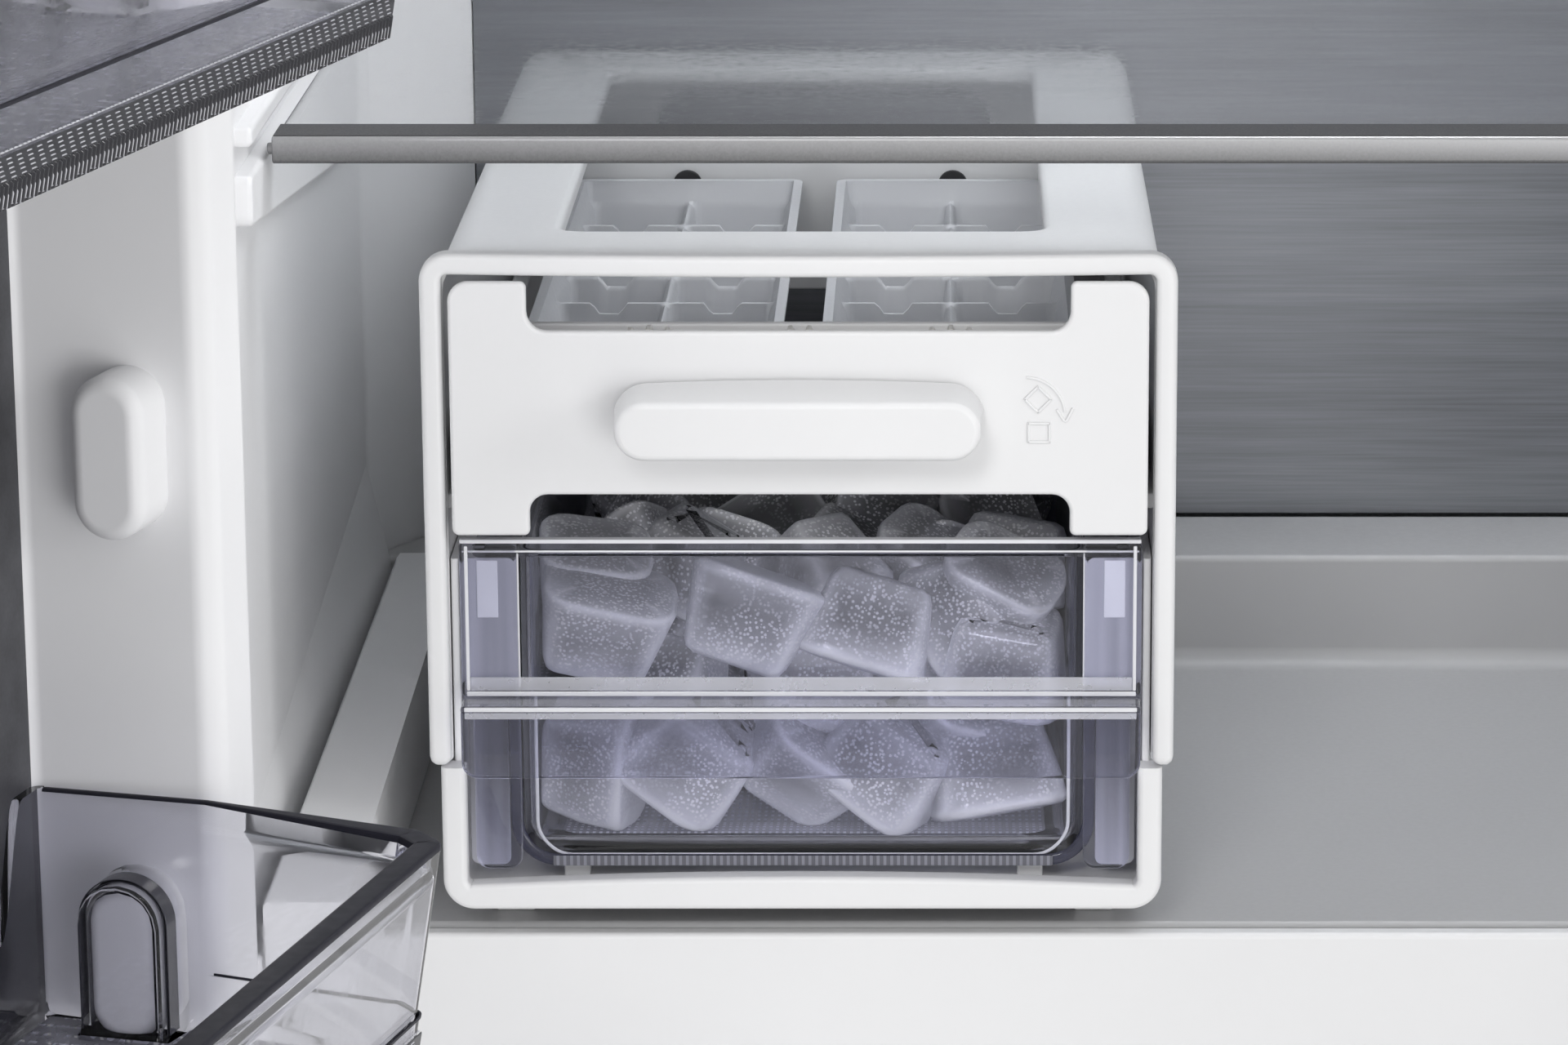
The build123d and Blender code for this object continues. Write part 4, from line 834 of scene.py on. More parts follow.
@dataclass(frozen=True)
class Case:
    """Outer case and room of the cabinet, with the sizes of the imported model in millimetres."""

    half: float = 297.5
    front: float = -310.0
    back: float = 310.0
    base: float = 28.0
    top: float = 1850.0
    room_half: float = 240.0
    floor: float = 95.0
    ceiling: float = 1795.0
    wall: float = 2.0
    chamfer_start: float = 131.0
    plate_half: float = 204.0
    plate_y: float = 191.0
    niche_y: float = 52.0
    niche_top: float = 330.0
    duct_z: float = 960.0
    rear: float = 245.0
    rail_front: float = -250.0
    rail_foot: float = 931.0
    rests: tuple = (1173.3, 1479.9)

    def build(self) -> None:
        """Make the outer sheet and the liner."""
        self._sheet()
        self._liner()

    def _sheet(self) -> None:
        """Bend the outer sheet over the cabinet and lay a face from its edge to the room's."""
        shell = Shell("outer_sheet", Axes.FRONT)
        low, high = (-self.half, self.base), (self.half, self.top)
        corners = [low, (low[0], high[1]), high, (high[0], low[1])]
        over = rounded_outline(corners, [0, 3, 3, 0], 6, closed=False)
        shell.bar(over, 1.0, self.front, self.back, 0.45)
        outer = rectangle((0.9 - self.half, self.base + 0.3), (self.half - 0.9, self.top - 0.9)).points
        low, high = (-self.room_half - 0.3, self.floor + 0.3), (self.room_half + 0.3, self.ceiling - 0.3)
        room = rectangle(low, high)
        width = self.half - 1.2 - self.room_half
        face = Outline(outer, (outer - room.points) / width)
        shell.bar(face, -width, self.front, self.front + 1.0, 0.45)
        shell.make("white_enamel", "cabinet", "cabinet_shell")

    def _room(self, back: float, edge: float) -> Outline:
        """Plan line of the room's walls, from the right front corner round the back to the left.

        Args:
            back: Where the back wall stands.
            edge: Radius of the back corners where they have no bevel.

        Returns:
            The line.
        """
        half = self.room_half
        right = [(half, self.front + 1), (half, min(back, self.chamfer_start))]
        radii = [0.0, edge if back <= self.chamfer_start else 9.0]
        if back > self.chamfer_start:
            right.append((self.plate_half, self.plate_y))
            radii.append(1.0)
        if back > self.plate_y:
            right.append((self.plate_half, back))
            radii.append(3.0)
        corners = right + [(-x, y) for x, y in reversed(right)]
        return rounded_outline(corners, radii + radii[::-1], 6, closed=False)

    def _liner(self) -> None:
        """Make the room's walls in three tiers, its floors and ceiling, and what stands on them.

        The walls of a tier lie a hair outside those of the tier below, so that none coincide.
        """
        shell = Shell("room_liner")
        wall = self.wall
        tiers = (
            (self.floor, self.niche_top, self.niche_y),
            (self.niche_top, self.duct_z, self.plate_y),
            (self.duct_z, self.ceiling, self.rear),
        )
        for number, (low, high, back) in enumerate(tiers):
            room = self._room(back, 5.0)
            room = Outline(room.points + (0.06 * number) * room.normals, room.normals, closed=False)
            shell.bar(room, wall, low - wall, high + wall, 0.3)
        half, narrow = self.room_half + wall, self.plate_half + wall
        near, bend = self.front + 1, self.plate_y + wall
        for low, high in (
            ((-half, near, self.floor - wall), (half, self.niche_y + wall, self.floor)),
            ((-half, self.niche_y, self.niche_top - wall), (half, bend, self.niche_top)),
            ((-narrow, self.plate_y, self.duct_z - wall), (narrow, self.rear + wall, self.duct_z)),
            ((-half, near, self.ceiling), (half, bend, self.ceiling + wall)),
            ((-narrow, self.plate_y - 1, self.ceiling), (narrow, self.rear + wall, self.ceiling + wall)),
            ((-half, self.chamfer_start, self.duct_z), (-narrow, bend, self.duct_z + wall)),
        ):
            shell.box(low, high, 0.5)
        self._coving(shell)
        for side in (-1, 1):
            self._rails(shell, side)
            self._brackets(shell, side)
        shell.make("liner_white", "cabinet", "inner_liner")

    def _coving(self, shell: Shell) -> None:
        """Hollow rounding, a quarter circle in section, where the ceiling meets the side walls.

        Args:
            shell: The liner's surfaces.
        """
        radius = 14.0
        angles = np.linspace(0, math.pi / 2, 7)
        for side in (-1, 1):
            hollow = np.stack([radius * (1 - np.cos(angles)), -radius * (1 - np.sin(angles))], axis=1)
            corner = np.array([[-1.0, 1.0]])
            section = np.concatenate([hollow[::-1], [[-1.0, -radius]], corner, [[radius, 1.0]]])
            grid = np.empty((2, len(section), 3))
            grid[..., 0] = side * (self.room_half - section[:, 0])
            grid[..., 1] = self.ceiling + section[:, 1]
            grid[..., 2] = np.array([[self.front + 2], [128.0]])
            shell.lay(Axes.FRONT).grid(grid, columns_join=True, caps=("first", "last"))
        shell.lay(Axes.PLAN)

    def _rails(self, shell: Shell, side: int) -> None:
        """Side rail at the deck, the cove that tapers above it, and the runners for the drawers.

        Args:
            shell: The liner's surfaces.
            side: -1 for the left wall and 1 for the right one.
        """
        shell.lay(Axes.SIDE)
        outer = self.room_half + 1
        for inner, along, upward in (
            (232.9, (-296.0, -252.0), (931.0, 950.0)),
            (230.0, (-159.8, 131.0), (912.0, 921.8)),
            (222.0, (-158.0, 34.0), (94.0, 100.2)),
            (222.0, (-158.0, 131.0), (366.0, 373.2)),
            (222.0, (-158.0, 131.0), (647.0, 654.2)),
        ):
            outline = rectangle((along[0], upward[0]), (along[1], upward[1]), 1.5, 4)
            low, high = sorted((side * inner, side * outer))
            shell.plate(outline, low, high, 1.0)
        shell.lay(Axes.FRONT)
        foot = self.rail_foot
        rail_front = ((208, foot), (232.3, foot), (232.3, 964.6), (231.2, 966), (208, 966))
        rail_back = ((208, foot), (230.0, foot), (230.0, 970.2), (228.8, 971.6), (208, 971.6))
        cove_front = ((238.0, foot), (241, foot), (241, 976), (239.9, 975), (238.4, 957), (238.0, 950))
        cove_back = ((231.6, foot), (241, foot), (241, 1007), (239.9, 1004), (233.2, 974), (231.6, 966))
        for ends in (
            ((self.rail_front, rail_front), (132.0, rail_back)),
            ((self.rail_front, cove_front), (130.3, cove_back)),
        ):
            grid = np.array([[(side * x, z, y) for x, z in section] for y, section in ends])
            shell.grid(grid, columns_join=True, caps=("first", "last"))

    def _brackets(self, shell: Shell, side: int) -> None:
        """Wedge-shaped shelf rests with a lip above them.

        Args:
            shell: The liner's surfaces.
            side: -1 for the left wall and 1 for the right one.
        """
        shell.lay(Axes.SIDE)
        for rest in self.rests:
            corners = [(-206, rest - 15), (12, rest - 38), (126, rest - 46), (126, rest), (-206, rest)]
            outline = rounded_outline(corners, [4, 40, 4, 2, 3], 5)
            low, high = sorted((side * 241.0, side * 235.0))
            near = (1.6, 0.4) if side < 0 else (0.4, 1.6)
            shell.plate(outline, low, high, near[0], near[1])
            lip = rectangle((-203, rest + 8), (120, rest + 14), 2.0, 5)
            shell.plate(lip, low, high, near[0], near[1])


@dataclass(frozen=True)
class Deck:
    """Deck under the ice maker, with its riser and the ledge along the back."""

    half: float = 239.5
    front: float = -161.8
    top: float = 930.0
    thick: float = 8.0
    ledge_front: float = 130.6
    ledge_back: float = 187.7
    ledge_top: float = 971.0

    def build(self) -> None:
        """Carry the deck's side section across; behind the riser it narrows towards the back."""
        low = self.top - self.thick
        section = [
            (self.front, low), (self.front, self.top), (self.ledge_front, self.top),
            (self.ledge_front - 0.6, self.ledge_top), (self.ledge_back, self.ledge_top),
            (self.ledge_back, low),
        ]
        line = rounded_outline(section, [1.5, 2.2, 7.0, 2.4, 1.0, 1.0], 7).points
        narrow = np.clip((line[:, 0] - 130.5) / 57.0, 0, 1)
        half = self.half - 34.0 * narrow
        share = np.array([-1.0, -0.997, 0.997, 1.0])[:, None]
        grid = np.empty((4, len(line), 3))
        shrink = np.array([0.35, 0.0, 0.0, 0.35])[:, None]
        middle = np.array([line[:, 0].mean(), self.top - 4])
        grid[..., 0] = line[:, 0] + shrink * np.sign(middle[0] - line[:, 0])
        grid[..., 1] = line[:, 1] + shrink * np.sign(middle[1] - line[:, 1])
        grid[..., 2] = share * half
        shell = Shell("deck", Axes.SIDE)
        shell.grid(grid, columns_join=True, caps=("first", "last"))
        # A darker copy of the liner's white: painted shade on the deck.
        shell.make("deck_painted_shade", "cabinet", "deck_shelf")


@dataclass(frozen=True)
class ShelfTrim:
    """Metal trim on the front edge of a glass shelf.

    Args:
        name: Which shelf.
        bottom: Its underside.
    """

    name: str
    bottom: float
    half: float = 232.7
    front: float = -175.4
    depth: float = 20.4
    height: float = 8.2

    def build(self) -> None:
        """Carry a rounded section across, close its ends with nubs and lay a strip on its top."""
        back, top = self.front + self.depth, self.bottom + self.height
        shell = Shell("trim_" + self.name, Axes.SIDE)
        section = rectangle((self.front, self.bottom), (back, top), 1.3, 5)
        shell.plate(section, -self.half, self.half, 0.5)
        for side in (-1, 1):
            nub = circle((self.front + 2.2, self.bottom + 4.4), 1.7, 24)
            low, high = sorted((side * (self.half - 1), side * (self.half + 1.5)))
            shell.plate(nub, low, high, 0.5)
        shell.make("trim_front", "shelf_" + self.name, "shelf_trim_" + self.name)
        cap = Shell("trim_cap_" + self.name, Axes.SIDE)
        strip = rectangle((self.front + 1.2, top - 0.1), (back, top + 0.25), 0.1, 2)
        cap.plate(strip, 0.4 - self.half, self.half - 0.4, 0.1)
        cap.make("trim_cap", "shelf_" + self.name)


@dataclass(frozen=True)
class DoorBody:
    """Door in its own axes: sheet, moulded liner with dykes and bosses, gasket and handle."""

    left: float = -12.9
    right: float = 582.1
    face: float = -26.0
    flange: float = 23.7
    bottom: float = 62.0
    top: float = 1846.0
    dyke_outer: float = 54.5
    dyke_mouth: float = 82.4
    dyke_root: float = 86.0
    dyke_tip: float = 92.5
    dyke_low: float = 108.0
    dyke_high: float = 1782.0
    panel: float = 41.6
    boss_tip: float = 100.0
    boss_z: float = 1018.7
    boss_pitch: float = 131.5

    @property
    def middle(self) -> float:
        """Middle of the door's width."""
        return (self.left + self.right) / 2

    def build(self) -> None:
        """Make all pieces of the door."""
        self._sheet()
        self._liner()
        self._gasket()
        self._handle()

    def _sheet(self) -> None:
        """Fold the outer sheet round the door."""
        shell = Shell("door_sheet", Axes.PLAN, on_door=True)
        low, high = (self.left, self.face), (self.right, self.flange)
        line = rounded_outline([low, (high[0], low[1]), high, (low[0], high[1])], [4, 4, 1, 1], 8)
        shell.bar(line, -1.0, self.bottom, self.top, 0.45)
        shell.make("white_enamel", "door", "door_skin")

    def _liner(self) -> None:
        """Carry the dykes' section round the door, and set the bosses on its side dykes."""
        shell = Shell("door_moulding", Axes.FRONT, on_door=True)
        flange = rectangle((self.left + 1, self.bottom + 14), (self.right - 1, self.top - 14), 3)
        shell.plate(flange, self.flange - 2, self.flange, 0.6)
        mirror = 2 * self.middle - self.dyke_outer
        outer = rectangle((self.dyke_outer, self.dyke_low), (mirror, self.dyke_high), 14, 10)
        mouth = self.dyke_outer - self.dyke_mouth
        root = self.dyke_outer - self.dyke_root
        section = [(0.6, self.flange - 1), (0, self.dyke_tip), (mouth, self.dyke_tip)]
        section += [(root, self.panel), (root - 6, self.panel)]
        offsets, depths = rounded_line(section, [0, 8.0, 7.0, 4.0, 0], 8)
        shell.carried(outer, offsets, depths, caps=("first", "last"))
        shell.lay(Axes.SIDE)
        for row in range(-6, 6):
            boss = pill((71.5, self.boss_z + self.boss_pitch * row), 42, 19.3, upright=True, steps=12)
            far_mouth, far_tip = 2 * self.middle - self.dyke_mouth, 2 * self.middle - self.boss_tip
            shell.plate(boss, self.dyke_mouth, self.boss_tip, 4.0, 0.1)
            shell.plate(boss, far_tip, far_mouth, 0.1, 4.0)
        shell.make("liner_white", "door", "door_liner")

    def _gasket(self) -> None:
        """Lay a wide foot round the flange and a thicker lip on it."""
        shell = Shell("door_seal", Axes.FRONT, on_door=True)
        low, high = self.bottom + 21, self.top - 21
        outer = rectangle((self.middle - 285.5, low), (self.middle + 285.5, high), 6)
        shell.bar(outer, -22.0, self.flange, self.flange + 4.5, 1.5)
        inner = Outline(outer.points - 4 * outer.normals, outer.normals)
        shell.bar(inner, -14.0, self.flange + 4, self.flange + 11.4, 3.0)
        shell.make("gasket_grey", "door", "door_gasket")

    def _handle(self) -> None:
        """Stand an upright grip on two posts."""
        shell = Shell("door_grip", Axes.PLAN, on_door=True)
        x = self.right - 40
        shell.plate(pill((x, self.face - 42), 26, 14, steps=8), 860, 1340, 3.0)
        shell.lay(Axes.FRONT)
        for z in (900, 1300):
            shell.plate(pill((x, z), 34, 12, upright=True, steps=8), self.face - 40, self.face, 0.5)
        shell.make("trim_metal", "door", "door_handle")


@dataclass(frozen=True)
class DoorBin:
    """Clear bin that hangs over two bosses of the door liner.

    Args:
        number: Which bin, from the bottom.
        row: The row of bosses it hangs on, counted from the one at boss_z.
        step: Height above its underside at which its front steps back.
        rings: Distances from a boss's axis at which the mesh of an end wall has its lines.
        front: Front face at the floor, which leans out by lean up to the rim.
        ribs: Distance from rib to rib on the front.
    """

    number: int
    row: int
    step: float
    rings: tuple = (
        4.0, 8.0, 8.85, 9.25, 9.65, 10.05, 10.45, 11.0, 11.55, 11.95, 12.35, 12.75, 13.15, 14.0
    )
    below: float = 22.2
    height: float = 63.9
    arch: float = 33.6
    rear: float = 42.9
    front: float = 149.0
    lean: float = 11.5
    end: float = 87.5
    shoulder: float = 90.0
    wall: float = 2.4
    lip: float = 7.0
    middle: float = 284.6
    boss_y: float = 72.5
    boss_z: float = 1018.7
    boss_pitch: float = 131.5
    ribs: float = 2.2

    def _line(self, front: float, end_front: float) -> Outline:
        """Plan line of a bin with close stops along its end walls, anticlockwise.

        Args:
            front: Front face.
            end_front: Where an end wall stands once it has stepped in, before the front corner.

        Returns:
            The line.
        """
        rings = np.array(self.rings)
        stops = [*(self.boss_y + rings[::-1]), self.boss_y, *(self.boss_y - rings), 52.0, 46.4]
        far = 2 * self.middle
        right = [(far - self.end, y) for y in reversed(stops)]
        left = [(self.end, y) for y in stops]
        rear = [(self.end, self.rear), (self.end + 8, self.rear)]
        rear += [(x, self.rear) for x in (*np.arange(99.0, 118.0, 1.5), self.middle)]
        rear += [(far - x, self.rear) for x, _ in reversed(rear[1:-1])] + [(far - self.end, self.rear)]
        nose = [(self.end, 91), (end_front, front - 9), (end_front + 8, front)]
        nose = [(far - x, y) for x, y in nose] + nose[::-1]
        radii = [3.0] + [0.0] * (len(rear) - 2) + [3.0] + [0.0] * len(right)
        radii += [0.0, 5.0, 5.0, 5.0, 5.0, 0.0] + [0.0] * len(left)
        return rounded_outline(rear + right + nose + left, radii, 5)

    @cached_property
    def low(self) -> Outline:
        """Plan line at the underside."""
        return self._line(self.front, 94)

    @cached_property
    def high(self) -> Outline:
        """Plan line at the rim."""
        return self._line(self.front + self.lean, 97)

    @property
    def floor(self) -> float:
        """Height of the underside."""
        return self.boss_z + self.boss_pitch * self.row - self.below

    def build(self) -> None:
        """Make the bin's pieces."""
        self._walls()
        self._rim()
        self._moat()
        self._grip()
        self._prisms()
        self._facets()

    def _shell(self, name: str, axes: Axes = Axes.PLAN) -> Shell:
        """Start one of the bin's pieces."""
        return Shell(f"bin_{self.number}_{name}", axes, on_door=True)

    def _place(self, height: np.ndarray | float, offset: np.ndarray | float) -> np.ndarray:
        """Find places on the leaning wall: a share of the way from the low line to the high one.

        Args:
            height: Height above the underside, one value or one for each point.
            offset: Outward move, one value or one for each point.

        Returns:
            The places.
        """
        count = len(self.low.points)
        height, offset = (np.broadcast_to(value, count)[:, None] for value in (height, offset))
        flat = self.low.points + (self.high.points - self.low.points) * (height / self.height)
        return np.concatenate([flat + offset * self.low.normals, height], axis=1)

    def _rim_shape(self) -> tuple[np.ndarray, np.ndarray]:
        """Thickness of the rim at each point, and the share by which it lies lower there."""
        lip = np.where(self.high.points[:, 1] > 150, self.lip, self.wall)
        return lip, np.where(lip > self.wall, 1.0, 0.4)

    def _walls(self) -> None:
        """Loft a bin up its outside and down its inside; its end walls dome over the bosses.

        Above the arch's centre the mesh lines of an end wall are drawn into concentric half
        circles: a place moves along its ray by the ratio of its larger coordinate to its distance.
        """
        low, step = self.low, self.step
        y = low.points[:, 1]
        ends = (np.abs(low.normals[:, 0]) > 0.9) & (y < self.shoulder)
        foreside = ease((y - self.shoulder) / 3.0)
        gap = np.abs(low.points[:, 0] - self.middle) - (self.middle - self.end)
        dip = np.where(low.normals[:, 1] < -0.7, ease((-gap - 12) / 16), 0.0)
        tall = self.height - (self.height - 30.0) * dip
        lip, drop = self._rim_shape()
        rows = []

        def level(height: np.ndarray | float, inset: float, inner: bool) -> None:
            """Add a mesh line of the wall.

            Args:
                height: Height above the underside, before the dip in the rear wall.
                inset: Inward move.
                inner: Whether it lies on the inside.
            """
            height = height / self.height * tall
            if inner:
                offset = -inset - self.wall - (lip - self.wall) * ease((height - 55.0) / 3.2)
            else:
                offset = -inset + 0.7 * foreside * ease((step - height) / 0.6 + 0.5)
            half, depth = (12.35, 16.1) if inner else (10.45, 14.9)
            across, rise = y - self.boss_y, np.maximum(height - self.arch, 0.0)
            ring = np.maximum(np.abs(across), rise)
            offset = offset - np.where(ends, depth * ease((half - ring) / 1.6), 0.0)
            spot = self._place(height, offset)
            pull = ring / np.maximum(np.hypot(across, rise), 0.01) - 1
            pull = np.where(ends & (rise > 0), pull * (1 - ease((ring - 14.0) / 6.0)), 0.0)
            spot[:, 1] += across * pull
            spot[:, 2] += rise * pull
            rows.append(spot)

        head = np.where(y < 46.0, self.height, self.height - 2.05 * drop)
        heights = [8.0, step - 0.4, step, step + 0.4, 29.0, self.arch]
        heights += [self.arch + ring for ring in self.rings] + [52.5, 54.5, 56.0, 57.2, 58.4]
        for inset, height in ((4.0, 0.0), (2.2, 0.25), (0.9, 1.3), (0.0, 3.8)):
            level(height, inset, False)
        for height in (*heights, head):
            level(height, 0.0, False)
        for height in (head, *heights[:0:-1]):
            level(height, 0.0, True)
        for inset, height in ((0.0, 7.0), (1.2, 4.2), (3.2, 3.3)):
            level(height, inset, True)
        shell = self._shell("clear")
        shell.grid(np.stack(rows) + [0, 0, self.floor], columns_join=True, caps=("first", "last"))
        shell.make("door_bin_clear", f"bin_{self.number}", f"door_bin_{self.number}", smooth=50)

    def _rim(self) -> None:
        """Carry the rim's rounded section round three sides, and a thin line at the step, both painted dark
        as the shade that the thick clear rim shows.
        """
        y = self.low.points[:, 1]
        front = y >= 46.0
        lip, drop = self._rim_shape()
        outside = [(0, -2.0), (0, -1.0), (0.3, -0.3), (1.0, 0)]
        bar = [(self.height + sink * drop, -inset) for inset, sink in outside]
        bar += [(self.height + sink * drop, inset - lip) for inset, sink in outside[::-1]]
        edge = self._shell("rim")
        rows = np.stack([self._place(*turn)[front] for turn in bar])
        edge.grid(rows + [0, 0, self.floor], rows_join=True, caps=("left", "right"))
        fore = (y > self.shoulder) & (self.low.normals[:, 1] > -0.5)
        turns = [(0.6, -0.4), (1.1, -0.4), (1.1, 0.4), (0.6, 0.4)]
        rows = np.stack([self._place(self.step + rise, out)[fore] for out, rise in turns])
        edge.grid(rows + [0, 0, self.floor], rows_join=True, caps=("left", "right"))
        edge.make("rim_painted_shade", f"bin_{self.number}")

    def _moat(self) -> None:
        """Two thin arches of painted shade round the dome in each end wall.
        """
        moat = self._shell("moat", Axes.SIDE)
        rise = self.floor + self.arch
        for turn, thick in ((11.0, 0.4), (11.8, 0.3)):
            foot, head = self.floor + 5, rise + turn
            corners = [(self.boss_y + turn, foot), (self.boss_y + turn, head)]
            corners += [(self.boss_y - turn, head), (self.boss_y - turn, foot)]
            arch = rounded_outline(corners, [0, turn - 0.01, turn - 0.01, 0], 10, closed=False)
            for low, high in ((96.0, 102.0), (2 * self.middle - 102.0, 2 * self.middle - 96.0)):
                moat.bar(arch, thick, low, high, 0.1)
        moat.make("moat_painted_shade", f"bin_{self.number}")

    def _grip(self) -> None:
        """Thin grip mat on the floor inside, notched round the domes.
        """
        mat = self._shell("grip")
        half = [(93, 47.5), (93, 58.5), (104.8, 60), (104.8, 85), (93, 86.5), (94, 92), (99.5, 142.8)]
        corners = half[::-1] + [(2 * self.middle - x, y) for x, y in half]
        mat.plate(rounded_outline(corners, 1.0, 3), self.floor + 3.35, self.floor + 3.8, 0.15)
        mat.make("grip_floor", f"bin_{self.number}")

    def _prisms(self) -> None:
        """Band of upright ribs low on a bin's front, with a smooth band above them, painted dark as shade for
        the clear ribs.

        The ribs' relief is the absolute value of a sine along the bin.
        """
        along = np.linspace(101.0, 2 * self.middle - 101.0, 1101)
        heights = np.array([0.1, 0.5, 5.6, 6.1, 6.4, 11.6, 12.0])
        relief = np.array([0.0, 0.6, 0.6, 0.15, 0.25, 0.25, 0.0])
        ribbed = np.array([0.0, 0.55, 0.55, 0.0, 0.0, 0.0, 0.0])
        wave = np.abs(np.sin(math.pi * along / self.ribs))
        face = self.front + self.lean * heights / self.height + 0.72
        grid = np.empty((len(heights) + 1, len(along), 3))
        grid[..., 0] = along
        grid[:-1, :, 1] = (face + relief)[:, None] + ribbed[:, None] * (wave - 0.5)
        grid[:-1, :, 2] = self.floor + heights[:, None]
        grid[-1, :, 1] = face.mean() - 0.05
        grid[-1, :, 2] = self.floor + 7.0
        shell = self._shell("prisms")
        shell.grid(grid, rows_join=True, caps=("left", "right"))
        shell.make("rib_painted_shade", f"bin_{self.number}", smooth=60)

    def _facets(self) -> None:
        """Painted highlights on a bin's front: bright facets in five slanting rows, a line of beads, and lit
        ribs.
        """
        shell = self._shell("facets")
        last = 2 * self.middle - 104.0
        for x in np.arange(103.0, last - 6.0, 5.0):
            for row in range(5):
                self._facet(shell, (x + 0.95 * row, 6.5 + 1.1 * row), (2.0, 0.5), 1.25)
        for rib, x in enumerate(np.arange(103.1, last, self.ribs)):
            short = 0.7 * (rib % 3)
            foot = 0.4 + 0.5 * short
            self._facet(shell, (x, foot), (0.35, 5.6 - short), 1.7)
            self._facet(shell, (x + 0.35, foot), (0.8, 0.35), 1.7)
            self._facet(shell, (x, 12.6), (1.4, 0.5), 1.0)
        shell.make("facet_painted_highlight", f"bin_{self.number}")

    def _facet(self, shell: Shell, start: Numbers, size: Numbers, out: float) -> None:
        """One small roof-shaped facet, its ridge half a millimetre out.

        Args:
            shell: Surfaces to add it to.
            start: Where it starts along the bin, and its height above the underside.
            size: Its width and height.
            out: How far it stands out from the wall, and 0.4 more.
        """
        back = self.front + self.lean * start[1] / self.height + out - 0.4
        grid = np.empty((2, 3, 3))
        grid[..., 0] = [[start[0]], [start[0] + size[0]]]
        grid[..., 1] = [back, back + 0.5, back]
        grid[..., 2] = self.floor + start[1] + np.array([0.0, 0.5, 1.0]) * size[1]
        shell.grid(grid, columns_join=True, caps=("first", "last"))


@dataclass(frozen=True)
class Drawer:
    """White drawer front with a pull lip, and the clear tub behind it.

    Args:
        number: Which drawer, from the bottom.
        low: Underside of its front.
        high: Top of its front.
        back: Rear face of its tub.
    """

    number: int
    low: float
    high: float
    back: float
    front: float = -170.0
    panel: float = 6.0
    panel_half: float = 237.0
    half: float = 226.0
    wall: float = 2.5

    def build(self) -> None:
        """Make the front and the tub."""
        self._front()
        self._tub()

    def _front(self) -> None:
        """Carry the lip's section round a slot on the rounded panel."""
        shell = Shell(f"drawer_{self.number}_panel", Axes.FRONT)
        face = rectangle((-self.panel_half, self.low), (self.panel_half, self.high), 4, 6)
        shell.plate(face, self.front, self.front + self.panel, 0.6, 2.0)
        section = [(0, 1), (-1.3, -9), (-5, -9), (-6.5, -2.5), (-9, -2.5)]
        offsets, depths = rounded_line(section, [0, 1.6, 1.2, 1.5, 0], 4)
        shell.carried(pill((0, self.high - 86), 190, 26, steps=12), offsets, self.front + depths)
        shell.make("moulded_white", f"drawer_{self.number}", f"drawer_front_{self.number}")

    def _tub(self) -> None:
        """Carry an open tub's section round its plan."""
        start, half, wall = self.front + self.panel, self.half, self.wall
        low, high = self.low + 3.5, self.high - 24
        corners = [(-half, start), (half, start), (half, self.back), (-half, self.back)]
        section = [(-8, low), (0, low), (0, high), (-wall, high), (-wall, low + 3), (-wall - 8, low + 3)]
        offsets, depths = rounded_line(section, [0, 3, 1.1, 1.1, 4, 0], 4)
        shell = Shell(f"drawer_{self.number}_tub", Axes.PLAN)
        shell.carried(rounded_outline(corners, [3, 3, 20, 20], 8), offsets, depths)
        shell.make("bin_clear", f"drawer_{self.number}", f"drawer_tub_{self.number}")


def maker_shell(name: str, axes: Axes = Axes.PLAN) -> Shell:
    """Start a piece of the ice maker, with x from the ice maker's middle."""
    return Shell(name, axes, middle=ICE_X)


